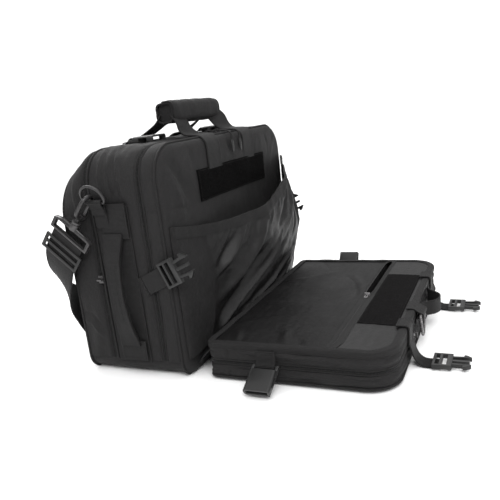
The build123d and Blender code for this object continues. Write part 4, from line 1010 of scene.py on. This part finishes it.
def top_tab(name, side):
    """Webbing folded round the bar of a buckle on the bag's top."""
    x = middle("top_buckle_left")[0] * side
    y, z = 12.0, 295.4
    path = [(x, y + 15, z - 3.7), (x, y + 7, z - 4.0), (x, y, z - 3.6), (x, y - 2.7, z - 1.6),
            (x, y - 2.6, z + 1.4),
            (x, y - 0.2, z + 3.3), (x, y + 2.8, z + 2.2), (x, y + 6, z - 0.8), (x, y + 14, z - 1.9)]
    strap("top_tab_" + name, path, (1, 0, 0), 24.5, 1.5, "bag", step=1.2)


def shoulder_web(name, side):
    """The wide strap from a swivel down behind the bag to the pad."""
    lean = (0, 0.766, 0.643)
    path = [(-203.5, 57.5, 190.5), (-204.5, 60.5, 187), (-203.6, 70, 176), (-202, 83, 160), (-194, 95, 132),
            (-180, 100, 106), (-160, 97, 78), (-143, 93, 50), (-124, 92, 34)]
    across = [lean] * 4 + [(0.15, 0.7, 0.68), (0.35, 0.5, 0.75), (0.45, 0.15, 0.88), (0.3, 0, 0.95), (0, 0, 1)]
    nodes = ("shoulder_strap",) if side == 1 else ()
    across = [(a * side, b, c) for a, b, c in across]
    _, made = strap("shoulder_strap_" + name, mirrored(path, side), across, 49, 2.2, "bag", *nodes)
    stitch_on_strap("bag", made, (-22, 22), 0.0, 1.0, 1.2)


def settled(grid, held, push, frames=16):
    """The grid after a short cloth simulation: held where told, and blown out gently by its filling."""
    rows, cols = grid.shape[:2]
    pairs = grid_faces(rows, cols, False)
    mesh = bpy.data.meshes.new("settling")
    mesh.from_pydata((grid.reshape(-1, 3) * MM).tolist(), [], (pairs[..., 0] * cols + pairs[..., 1]).tolist())
    piece = add_object("settling", mesh)
    group = piece.vertex_groups.new(name="held")
    group.add([int(k) for k in np.flatnonzero(held.ravel())], 1.0, "REPLACE")
    cloth_modifier = piece.modifiers.new("cloth", "CLOTH")
    settings = cloth_modifier.settings
    settings.quality = 5
    settings.mass = 0.25
    settings.tension_stiffness = 18
    settings.compression_stiffness = 18
    settings.shear_stiffness = 8
    settings.bending_stiffness = 1.2
    settings.shrink_min = -0.025
    settings.vertex_group_mass = "held"
    settings.use_pressure = True
    settings.uniform_pressure_force = push
    scene = bpy.context.scene
    for frame_number in range(1, frames + 1):
        scene.frame_set(frame_number)
    done = piece.evaluated_get(bpy.context.evaluated_depsgraph_get()).to_mesh()
    out = np.zeros(rows * cols * 3, np.float32)
    done.vertices.foreach_get("co", out)
    bpy.data.objects.remove(piece)
    scene.frame_set(1)
    return out.reshape(rows, cols, 3).astype(float) / MM


def shoulder_pad():
    """Padded sleeve standing on its edge behind the bag, with a bound rim."""
    lo, hi = low("shoulder_pad"), high("shoulder_pad")
    half_x = hi[0]
    a, b, inside = rounded_panel(half_x - 1.5, lo[2] + 1.5, hi[2] - 1.5, 16, 16, 110, 40)
    puff = 4.2 * np.sin(np.clip(inside / 16, 0, 1) * math.pi / 2) ** 0.8 + 0.3 * ripple(a, b, 91, 24)
    for x_row in (-half_x / 3, half_x / 3):
        puff = puff - 1.6 * np.exp(-(((a - x_row) / 2.5) ** 2)) * np.clip(inside / 8, 0, 1)
    mid_y = (lo[1] + hi[1]) / 2
    held = inside < 1.5
    for x_row in (-half_x / 3, half_x / 3):
        held = held | (np.abs(a - x_row) < 1.6)
    back = settled(points_of(a, mid_y + puff, b)[::-1], held[::-1], 0.35)
    back[..., 1] = np.clip(back[..., 1], mid_y, mid_y + 6)
    pad = cloth("shoulder_pad_back", back, 3.0, "padding", "bag", "shoulder_pad")
    face = settled(points_of(a, mid_y - puff, b), held, 0.35)
    face[..., 1] = np.clip(face[..., 1], mid_y - 6, mid_y)
    cloth("shoulder_pad_face", face, 3.0, "padding", "bag")
    edge = rim_of(back)
    edge[:, 1] = mid_y
    tube("shoulder_pad_binding", edge[::2], 2.0, TAPE, "bag", slot="webbing", closed=True, sides=8, step=3)


# ---------------------------------------------------------------- pouch that folds down in front
LINING_FOLDS = [
    ([(-128, -190), (-152, -198), (-176, -205)], 7.0, 2.6, 0.7),
    ([(-150, -212), (-166, -220), (-178, -228)], 5.0, -1.8, 1.0),
    ([(-140, -131), (-160, -138), (-178, -143)], 6.0, 2.4, 0.6),
    ([(96, -205), (50, -232), (-6, -250)], 6.0, 2.6, 0.6),
    ([(104, -214), (56, -241), (10, -252)], 5.0, -1.8, 1.0),
    ([(-36, -108), (-44, -160), (-40, -224)], 12.0, 1.8, 0.8),
    ([(60, -108), (74, -150), (120, -196)], 9.0, 1.8, 0.6),
    ([(-120, -108), (-96, -150), (-90, -200)], 10.0, 1.6, 0.8),
    ([(176, -140), (140, -160), (118, -176)], 6.0, 2.0, 0.6),
]


def zip_bend(x):
    """How far the inner zipper curves towards the hinge at its closed end."""
    return 6.0 * np.clip((-np.asarray(x, float) - 152) / 26, 0, 1) ** 1.5


def pouch_z(x, y):
    """Upper face of the pouch's lining and end panel."""
    inside = np.minimum(FLAP_HALF - np.abs(x), np.minimum(y - FLAP_Y[0], FLAP_Y[1] - y))
    folds = 0.5 * ripple(x, y, 101, 60) + 0.16 * ripple(x, y, 102, 13)
    folds = creased(folds, x, y, LINING_FOLDS)
    loose = np.clip((inside - 7) / 12, 0, 1)
    near_zip = np.clip((np.abs(y - INNER_ZIP_Y - zip_bend(x)) - 5) / 12, 0, 1)
    return FLAP_TOP - 0.8 + 1.6 * np.clip(inside / 50, 0, 1) + folds * loose * near_zip


def pouch_half(y, inset):
    """Half the pouch's width at a place along it, following its rounded corners."""
    out = FLAP_HALF - inset
    for radius, edge, sign in ((FLAP_END_CORNER, FLAP_Y[0], 1), (FLAP_HINGE_CORNER, FLAP_Y[1], -1)):
        depth = np.clip(radius - (y - edge) * sign, 0, radius - inset)
        out = np.minimum(out, FLAP_HALF - radius + np.sqrt(np.maximum((radius - inset) ** 2 - depth**2, 0)))
    return out


def pouch_sheet(y_near_hinge, y_far, columns, rows, inset=3.0):
    """Grid over the pouch's top between two lines, each given as y at a place x."""
    share = np.linspace(-1, 1, columns)[:, None]
    t = np.linspace(0, 1, rows)[None, :]
    x = share * (FLAP_HALF - inset) + 0 * t
    for _ in range(3):
        y = y_far(x) + (y_near_hinge(x) - y_far(x)) * t
        x = share * pouch_half(y, inset)
    return points_of(x, y, pouch_z(x, y))


def pouch_top():
    seat = 6.5
    near = lambda x: FLAP_Y[1] - 3 + 0 * x
    lining = pouch_sheet(near, lambda x: INNER_ZIP_Y + seat - 1.5 + zip_bend(x), 170, 90)
    # The pouch's top lining takes the darker copy of the lining, whose colour is painted shade.
    cloth("flap_lining_cloth", lining, 1.2, LINING_SHADED, "flap", "flap_lining", slot="lining", held="stretched",
          rests=["flap_gusset_upper"])
    end = pouch_sheet(lambda x: INNER_ZIP_Y - seat + 1.5 + zip_bend(x), lambda x: FLAP_Y[0] + 3 + 0 * x, 150, 36)
    end[..., 2] += 0.8
    cloth("flap_end_cloth", end, 1.6, "lining", "flap", "flap_end_panel", held="stretched",
          rests=["flap_gusset_upper"])
    for shift in (seat + 2.2, -seat - 2.2):
        x = np.linspace(-FLAP_HALF + 10, FLAP_HALF - 10, 130)
        y = INNER_ZIP_Y + shift + zip_bend(x)
        stitch("flap", points_of(x, y, pouch_z(x, y) + 0.3 + (0.8 if shift < 0 else 0)), (0, 0, 1))
    lo, hi = low("flap_hook_strip"), high("flap_hook_strip")
    x, y, edge = patch_grid(lo, hi, 1)
    z = pouch_z(x, y) + 2.0 - 0.8 * np.exp(-((edge / 1.8) ** 2)) + 0.15 * ripple(x, y, 104, 4)
    cloth("flap_hook_tape", np.stack([x, y, z], -1), 1.6, "hook_tape", "flap", "flap_hook_strip")
    sewn_round("flap", lo[:2], hi[:2], 2, 50, lambda a, b: points_of(a, b, pouch_z(a, b) + 1.9), (0, 0, 1))


def inner_zipper():
    """Closed coil at one side of the slider and, at the other, two lips with the pocket's mouth between."""
    x = np.linspace(-FLAP_HALF + 6, FLAP_HALF - 6, 200)[:, None]
    centre = INNER_ZIP_Y + zip_bend(x)
    for name, sign in (("hinge", 1), ("end", -1)):
        open_by = 4.6 * np.clip(x / 16, 0, 1) ** 0.6 * np.clip((172 - x) / 16, 0, 1) ** 0.6
        t = np.linspace(0, 1, 7)[None, :]
        inner, outer = centre + sign * (0.2 + open_by), centre + sign * 8.0
        y = outer + (inner - outer) * t if sign > 0 else inner + (outer - inner) * t
        near = np.abs(y - centre) - open_by
        lip = 1.1 * np.exp(-((near / 2.2) ** 2)) + open_by * 0.28 * np.exp(-((near / 3.0) ** 2))
        z = pouch_z(x + 0 * y, y) + 0.5 + lip
        grid = points_of(x, y, z)
        if sign > 0:
            grid = grid[:, ::-1]
        nodes = ("flap_pocket_zipper",) if sign > 0 else ()
        cloth("flap_pocket_tape_" + name, grid, 0.9, TAPE, "flap", *nodes, slot="zipper_coil")
        edge = grid[:, 0] if sign > 0 else grid[:, -1]
        line = edge[8:-8] + np.array([0, 0, 0.2])
        zipper_teeth("flap_pocket_teeth_" + name, line, (0, -0.3 * sign, 1), (0, 1, 0), (1.9, 1.1, 1.1), "flap")
    lo, hi = low("flap_pocket_bag"), high("flap_pocket_bag")
    profile = np.array([(INNER_ZIP_Y + 5.5, FLAP_TOP - 1.2), (INNER_ZIP_Y + 5.5, 40), (INNER_ZIP_Y + 5, lo[2] + 2),
                        (INNER_ZIP_Y - 4, lo[2]), (lo[1] + 14, lo[2] + 2), (lo[1] + 2, 38), (lo[1] + 4, 42),
                        (INNER_ZIP_Y - 20, 43), (INNER_ZIP_Y - 8, 43.2), (INNER_ZIP_Y - 5.5, FLAP_TOP - 1.2)])
    line = smooth_path(np.concatenate([profile, np.zeros((len(profile), 1))], 1), 3.0)[:, :2]
    x = np.linspace(lo[0], hi[0], 90)[:, None]
    y, z = line[None, :, 0] + 0 * x, line[None, :, 1] + 0 * x
    z = z + 0.8 * ripple(x, y, 105, 40) * np.clip((FLAP_TOP - 4 - z) / 4, 0, 1)
    cloth("flap_pocket_lining", points_of(x, y, z), 0.8, "lining", "flap", "flap_pocket_bag",
          held="hung", rests=["flap_end_cloth", "flap_lining_cloth"])


def pouch_walls():
    path = flap_path()
    total = reach_of(path)[-1]
    seam_y = FLAP_Y[1] - 31
    seam_at = FLAP_HALF - FLAP_END_CORNER + math.pi / 2 * FLAP_END_CORNER + (seam_y - FLAP_Y[0] - FLAP_END_CORNER)

    def wrinkles(seed, depth, high_fold):
        def offset(s, t):
            out = 1.3 * ripple(s / 5.5, t * depth, seed, 9) + 0.5 * ripple(s, t * depth, seed + 1, 45)
            for side in (0, 1):
                d = total - s if side else s
                out = out + crease(d, t * depth, [(190, 2), (260, high_fold), (330, 5)], 2.4, 1.8, 0.6)
                out = out - 1.6 * np.exp(-(((d - seam_at) / 1.2) ** 2))
                out = out + 0.9 * np.exp(-(((d - seam_at - 3) / 1.6) ** 2))
            return crown(t, depth, 0.6, 1.2) - 0.6 + out * np.sin(np.pi * t) ** 0.6
        return offset

    for name, z_range, seed, fold in (("lower", (PANEL_Z, FLAP_ZIP_Z[0]), 111, 9),
                                      ("upper", (FLAP_ZIP_Z[1], 46.5), 113, 11)):
        depth = z_range[1] - z_range[0]
        nodes = ("flap_gusset",) if name == "lower" else ()
        cloth("flap_gusset_" + name, flap_band(z_range, 18, wrinkles(seed, depth, fold)), 1.4, "cordura", "flap",
              *nodes, wrap=True, held="stretched", rests=["flap_panel_cloth"])

    def tape_offset(s, t):
        ridge = 1.3 * np.exp(-(((t - 0.2) * 8) ** 2)) + 1.3 * np.exp(-(((t - 0.8) * 8) ** 2))
        return -1.5 + ridge + 0 * s

    cloth("flap_zipper_tape", flap_band(FLAP_ZIP_Z, 13, tape_offset), 1.1, TAPE, "flap", "flap_zipper", wrap=True,
          slot="zipper_coil")
    line = path[0] - path[1] * 0.9
    points = points_of(line[:, 0], line[:, 1], sum(FLAP_ZIP_Z) / 2)
    outward = points_of(path[1][:, 0], path[1][:, 1], 0.0)
    zipper_teeth("flap_zipper_teeth", points, outward, (0, 0, 1), (3.0, 1.1, 1.3), "flap", closed=True)

    profile = [(0.7, 42.6), (1.3, 44), (1.5, 46.6), (1.1, 48.4), (-0.4, 49.6), (-2.4, 49.9), (-5, 49.7),
               (-8.2, 49.2)]
    profile = smooth_path([(a, b, 0) for a, b in profile], 1.2)[:, :2]
    grid = np.zeros((len(path[0]), len(profile), 3))
    grid[..., :2] = path[0][:, None] + path[1][:, None] * profile[None, :, :1]
    wave = 0.25 * ripple(reach_of(path)[:, None], 0 * profile[None, :, 0], 117, 30)
    grid[..., 2] = profile[None, :, 1] + wave
    cloth("flap_binding_tape", grid, 1.5, TAPE, "flap", "flap_binding", wrap=True, slot="webbing")
    for out, z in ((-3.2, 49.95), (-6.4, 49.6)):
        row = path[0] + path[1] * out
        stitch("flap", points_of(*row.T, z + wave[:, 0]), (0, 0, 1), closed=True)
    row = path[0] + path[1] * 1.35
    stitch("flap", points_of(*row.T, 44.2), outward, closed=True)
    for z, stand, radius in ((PANEL_Z + 0.2, 0.3, 1.5), (42.4, 0.2, 1.0)):
        row = path[0] + path[1] * stand
        tube(f"flap_seam_piping_{int(z)}", points_of(*row.T, z), radius, TAPE, "flap",
             slot="webbing", closed=True, smooth=False, sides=8)


def pouch_underside():
    lo = low("flap_outer_panel")
    x, y, inside = rounded_panel(FLAP_HALF, FLAP_Y[0], FLAP_Y[1], FLAP_END_CORNER, FLAP_HINGE_CORNER, 90, 70)
    sag = 0.25 * (1 + ripple(x, y, 121, 40)) * np.clip(inside / 20, 0, 1)
    z = PANEL_Z - shoulder(inside, 7, PANEL_Z - lo[2]) + sag
    grid = points_of(x, y, z)[::-1]
    cloth("flap_panel_cloth", grid, 1.4, "cordura", "flap", "flap_outer_panel", held="laid",
          rests=["flap_webbing_row_0"])
    for row in range(WEBBING_ROWS):
        y = FLAP_Y[1] - 40 - row * 48
        nodes = ("flap_webbing",) if row == 0 else ()
        points = [(-150, y, 1.05), (-60, y, 1.05), (60, y, 1.05), (150, y, 1.05)]
        strap(f"flap_webbing_row_{row}", points, (0, 1, 0), 25, 1.7, "flap", *nodes)
        for x in (-148, -76, 0, 76, 148):
            ys = np.linspace(y - 11, y + 11, 14)
            stitch("flap", points_of(x, ys, 0.35), (0, 0, -1))


def pouch_tabs():
    """Folded webbing on the pouch's sides and free end."""
    y, edge = middle("flap_buckle_left")[1], FLAP_Y[0]
    for name, side in (("left", 1), ("right", -1)):
        path = [(-182.6, y, 44), (-183.6, y, 38), (-184.4, y, 32), (-184.4, y, 27), (-185.0, y, 23.2),
                (-187, y, 22.1), (-189.4, y, 23), (-190.1, y, 25.4), (-188.8, y, 28), (-186.6, y, 31),
                (-185.8, y, 37), (-184.8, y, 43)]
        strap("flap_side_tab_" + name, mirrored(path, side), (0, 1, 0), 24.5, 1.4, "flap", step=1.2)
        for z in (33.5, 41.5):
            ys = np.linspace(y - 10.5, y + 10.5, 14)
            stitch("flap", points_of(-186.9 * side, ys, z), (-side, 0, 0))
        x = middle("closure_strap_left")[0] * side
        over = [(x, edge + 12, 51.4), (x, edge + 4, 51.6), (x, edge - 1, 51.0), (x, edge - 2.9, 48.4),
                (x, edge - 3.0, 42), (x, edge - 2.6, 34), (x, edge - 2.4, 30.2)]
        _, made = strap("closure_anchor_" + name, over, (1, 0, 0), 25, 1.9, "flap", step=1.2)
        stitch_on_strap("flap", made, (-10.5, 10.5), 0.02, 0.9, 1.0)
        for place in (edge + 10, edge + 4):
            xs = np.linspace(x - 10.5, x + 10.5, 14)
            stitch("flap", points_of(xs, place, 52.6), (0, 0, 1))
    ring_x, ring_y = middle("flap_ring")[:2]
    path = [(ring_x, edge + 10, 50.6), (ring_x, edge + 2, 50.9), (ring_x, ring_y + 6, 49.0),
            (ring_x, ring_y + 3, 46.6),
            (ring_x, ring_y, 45.3), (ring_x, ring_y - 3.0, 43.4), (ring_x, ring_y - 2.6, 40),
            (ring_x, ring_y, 38.7),
            (ring_x, ring_y + 3.2, 38.4), (ring_x, edge - 2.2, 36.5), (ring_x, edge - 1.8, 31)]
    strap("flap_ring_tab", path, (1, 0, 0), 29, 1.5, "flap", step=1.2)
    lo, hi = low("flap_grab_loop"), high("flap_grab_loop")
    mid_x, z = (lo[0] + hi[0]) / 2, 33.0
    path = [(mid_x - 40, edge - 2.2, z), (mid_x - 30, edge - 2.6, z), (mid_x - 24, edge - 8, z - 0.5),
            (mid_x - 16, edge - 17, z - 1), (mid_x - 3, edge - 22, z - 1.5), (mid_x + 12, edge - 20, z - 1),
            (mid_x + 22, edge - 10, z - 0.5), (mid_x + 30, edge - 2.8, z), (mid_x + 40, edge - 2.2, z)]
    _, made = strap("flap_grab_loop_webbing", path, (0, 0, 1), 20, 1.9, "flap", "flap_grab_loop")
    stitch_on_strap("flap", made, (-7.5, 7.5), 0.0, 0.14, 1.0)
    stitch_on_strap("flap", made, (-7.5, 7.5), 0.88, 1.0, 1.0)


def hinge_cloth():
    """Pleated cloth from the bag's front bottom edge to the pouch's inner edge."""
    lo, hi = low("flap_hinge_web"), high("flap_hinge_web")
    points = [(FRONT_Y - 0.2, 11, 0), (FRONT_Y - 4, 18, 0), (FRONT_Y - 9, 23.5, 0), (FRONT_Y - 15, 28.5, 0),
              (FLAP_Y[1] + 2.6, 37.4, 0)]
    line = smooth_path(points, 1.6)[:, :2]
    x = np.linspace(hi[0], lo[0], 200)[:, None]
    t = np.linspace(0, 1, len(line))[None, :]
    pleats = 1.6 * ripple(x + 3 * t, 0 * t, 131, 17) + 0.7 * ripple(x, 20 * t, 132, 7)
    z = line[None, :, 1] + pleats * np.sin(np.pi * t) ** 1.2
    piece = cloth("flap_hinge_cloth", points_of(x, line[None, :, 0], z), 1.2, "cordura", None,
                  "flap_hinge_web", held="hung", rests=["front_panel_cloth", "flap_gusset_upper"])
    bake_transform(piece)


def tie_straps():
    """Straps with male buckles: two on the bag's sides and two on the pouch's free end."""
    rise = math.radians(24)
    along, across = np.array([0, -math.cos(rise), math.sin(rise)]), (0, math.sin(rise), math.cos(rise))
    end_y = FLAP_Y[0] - 2.2
    for name, side in (("left", 1), ("right", -1)):
        start = np.array([-192.0, -36.2, 123.0])
        bow = ((0, 0), (10, -0.5), (22, -0.7), (34, -0.3), (46, 0.1))
        path = [start + along * d + np.array([w, 0, 0]) for d, w in bow]
        _, made = strap("side_tie_" + name, mirrored(path, side), across, 25, 1.7, "side_tie_" + name,
                        "side_strap_" + name)
        stitch_on_strap("side_tie_" + name, made, (-10.5, 10.5), 0.0, 0.16, 0.9)
        anchor = [start - along * d + np.array([w, 0, 0]) for d, w in ((1, 0.4), (6, 0.8), (12, 1.4))]
        strap("side_anchor_" + name, mirrored(anchor, side), across, 25.4, 2.0, "bag", step=1.5)
        x = middle("closure_strap_left")[0] * side
        path = [(x, end_y, 29.6), (x, end_y - 2.5, 22), (x, end_y - 4.5, 14), (x, end_y - 9, 6),
                (x, end_y - 15.5, 1.9),
                (x, end_y - 24, 1.4), (x, end_y - 33, 1.4)]
        _, made = strap("closure_tie_" + name, path, (1, 0, 0), 25, 1.8, "closure_tie_" + name,
                        "closure_strap_" + name)
        stitch_on_strap("closure_tie_" + name, made, (-10.5, 10.5), 0.0, 0.12, 0.95)


# ---------------------------------------------------------------- hardware
def refined(node_name, look, width, steps=2):
    """A CAD part again, with its edges rounded off."""
    source = frame["nodes"][node_name]
    mesh = source.data.copy()
    work = bmesh.new()
    work.from_mesh(mesh)
    work.transform(source.matrix_world)
    bmesh.ops.remove_doubles(work, verts=work.verts, dist=0.00001)
    flat = math.radians(2)
    bmesh.ops.dissolve_limit(work, angle_limit=flat, verts=work.verts, edges=work.edges)
    bmesh.ops.recalc_face_normals(work, faces=work.faces)
    work.to_mesh(mesh)
    work.free()
    mesh.materials.clear()
    mesh.materials.append(LOOKS[look])
    piece = add_object(node_name + "_part", mesh)
    bevel = piece.modifiers.new("soft edges", "BEVEL")
    bevel.width = width * MM
    bevel.segments = steps
    bevel.limit_method = "ANGLE"
    bevel.angle_limit = math.radians(38)
    bevel.use_clamp_overlap = True
    bpy.context.view_layer.update()
    done = bpy.data.meshes.new_from_object(piece.evaluated_get(bpy.context.evaluated_depsgraph_get()))
    piece.modifiers.clear()
    piece.data = done
    done.shade_smooth()
    done.set_sharp_from_angle(angle=math.radians(40))
    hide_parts(node_name)
    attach(piece, body_of_node(node_name))


def body_of_node(node_name):
    for body, names in frame["record"]["behaviour"]["bodies"].items():
        if node_name in names:
            return body
    return "bag"


def hardware():
    for kind in ("top_buckle", "side_buckle", "closure_buckle", "flap_buckle"):
        for side in ("left", "right"):
            refined(f"{kind}_{side}", "buckle_plastic", 0.7, 3)
    refined("strap_adjusters", "buckle_plastic", 0.7, 3)
    for kind in ("d_ring", "snap_hook", "hook_gate", "main_slider"):
        for side in ("left", "right"):
            refined(f"{kind}_{side}", "black_metal", 0.3)
    for name in ("swivel_bases", "rear_slider", "flap_slider"):
        refined(name, "black_metal", 0.3)
    for name in ("flap_ring", "pocket_slider"):
        refined(name, "dark_wire", 0.2)
    refined("laptop_divider", "padding", 1.0)
    for side in ("left", "right"):
        cord_pull(side)


def cord_pull(side):
    """A loop of cord through a slider's bow, its ends in a moulded grip, lying down over the front edge."""
    body = "main_pull_" + side
    lo, hi = low(body), high(body)
    x = (lo[0] + hi[0]) / 2
    eye_y = hi[1] - 1.2
    for name, shift in (("a", -1.3), ("b", 1.3)):
        path = [(x, eye_y, hi[2] - 1.0), (x + shift * 0.7, eye_y - 2.6, hi[2] - 0.2),
                (x + shift, eye_y - 12, hi[2] - 0.9), (x + shift, lo[1] + 10, hi[2] - 1.4),
                (x + shift, lo[1] + 3, hi[2] - 5.0), (x + shift, lo[1] + 1.4, hi[2] - 10),
                (x + shift * 0.8, lo[1] + 1.3, lo[2] + 14)]
        nodes = (body,) if name == "a" else ()
        tube(f"main_pull_cord_{side}_{name}", path, 1.0, CORD, body, *nodes, slot="webbing", step=1.2, sides=10)
    z = np.linspace(lo[2] + 16, lo[2] - 1, 20)
    t = np.linspace(0, 1, 20)
    swell = 1.1 * np.sin(np.clip(t * 1.15, 0, 1) * math.pi) ** 0.5
    size = 1.7 + swell + 0.35 * np.cos(t * 34) * np.clip(t * 5, 0, 1)
    size[0], size[-1] = 1.2, 1.4
    angle = np.linspace(0, 2 * math.pi, 17)[:-1]
    ring = np.stack([np.cos(angle) * 1.15, np.sin(angle) * 0.62], 1)
    centres = points_of(x, lo[1] + 1.4, z)
    profiles = ring[None] * size[:, None, None]
    across, through = np.broadcast_to([1.0, 0, 0], (20, 3)), np.broadcast_to([0, 1.0, 0], (20, 3))
    verts, faces, uvs = section_mesh(centres, across, through, profiles)
    finish_mesh("main_pull_grip_" + side, verts, faces, uvs, "buckle_plastic", body)


# ---------------------------------------------------------------- everything together
front_panel()
gussets()
rear_panel()
bag_zipper("main_zipper", ZIP_Y)
bag_zipper("rear_zipper", REAR_ZIP_Y)
slip_pocket()
loop_patch()
handle()
side_details()
shoulder_pad()
pouch_top()
inner_zipper()
pouch_walls()
pouch_underside()
pouch_tabs()
hinge_cloth()
tie_straps()
hardware()

for group, rows in STITCHES.items():
    places, along, up = (np.concatenate([row[k] for row in rows]) for k in range(3))
    body = "bag" if group == "pocket" else group
    piece = little_ones(f"{group}_stitches", places, along, up, (2.4, 0.62, 0.5), THREAD, body, "webbing")
    if group == "pocket":
        crushes(piece)


# ---------------------------------------------------------------- stage, light and camera
def plain_floor():
    material, tree, shader, place = start_material("pale floor")
    tree.links.new(mix(tree, noise(tree, place, 6), grey(0.95), grey(0.97)), shader.inputs["Base Color"])
    shader.inputs["Roughness"].default_value = 0.85
    size = 14.0
    mesh = bpy.data.meshes.new("floor")
    mesh.from_pydata([(-size, -size, 0), (size, -size, 0), (size, size, 0), (-size, size, 0)], [], [(0, 1, 2, 3)])
    mesh.materials.append(material)
    add_object("floor", mesh)


def area_light(name, place, target, size, power):
    data = bpy.data.lights.new(name, "AREA")
    data.shape = "RECTANGLE"
    data.size, data.size_y = size
    data.energy = power
    lamp = add_object(name, data)
    lamp.location = place
    lamp.rotation_euler = (Vector(target) - Vector(place)).to_track_quat("-Z", "Y").to_euler()


def lights():
    """A white room: bright overhead, dim near the horizon, plain white where the camera sees it."""
    world = bpy.data.worlds.new("studio")
    world.use_nodes = True
    tree = world.node_tree
    background = tree.nodes["Background"]
    background.inputs["Color"].default_value = (1, 1, 1, 1)
    direction = node(tree, "ShaderNodeTexCoord").outputs["Generated"]
    height = node(tree, "ShaderNodeSeparateXYZ", {"Vector": direction}).outputs["Z"]
    soft = between(tree, height, 0.34, 1.75, 0.2, 0.85)
    seen = node(tree, "ShaderNodeLightPath").outputs["Is Camera Ray"]
    strength = node(tree, "ShaderNodeMix", {"Factor": seen, "A": soft, "B": 1.3}).outputs["Result"]
    tree.links.new(strength, background.inputs["Strength"])
    bpy.context.scene.world = world
    area_light("key", (-1.3, -0.9, 1.5), (0, -0.1, 0.12), (1.2, 0.9), 22)
    area_light("rim", (0.9, 0.9, 1.4), (0, -0.05, 0.2), (1.2, 0.8), 14)


def camera():
    """The lens and place that the fit of the bag's corners gave."""
    azimuth, elevation, roll = math.radians(-64.33), math.radians(13.62), math.radians(-6.78)
    distance, aim, shift_right = 0.8635, (0, -0.060, 0.11665), 0.02788
    back = Vector((math.sin(azimuth) * math.cos(elevation), -math.cos(azimuth) * math.cos(elevation),
                   math.sin(elevation)))
    right = (-back).cross(Vector((0, 0, 1))).normalized()
    up = right.cross(-back)
    turned = right * math.cos(roll) + up * math.sin(roll)
    raised = up * math.cos(roll) - right * math.sin(roll)
    data = bpy.data.cameras.new("camera")
    data.lens = 41.2
    data.sensor_width = 36.0
    lens = add_object("camera", data)
    rotation = Matrix((turned, raised, back)).transposed().to_4x4()
    target = Vector(aim) + turned * shift_right
    lens.matrix_world = Matrix.Translation(target + back * distance) @ rotation
    bpy.context.scene.camera = lens


plain_floor()
lights()
camera()
bpy.context.scene.view_settings.view_transform = "Standard"
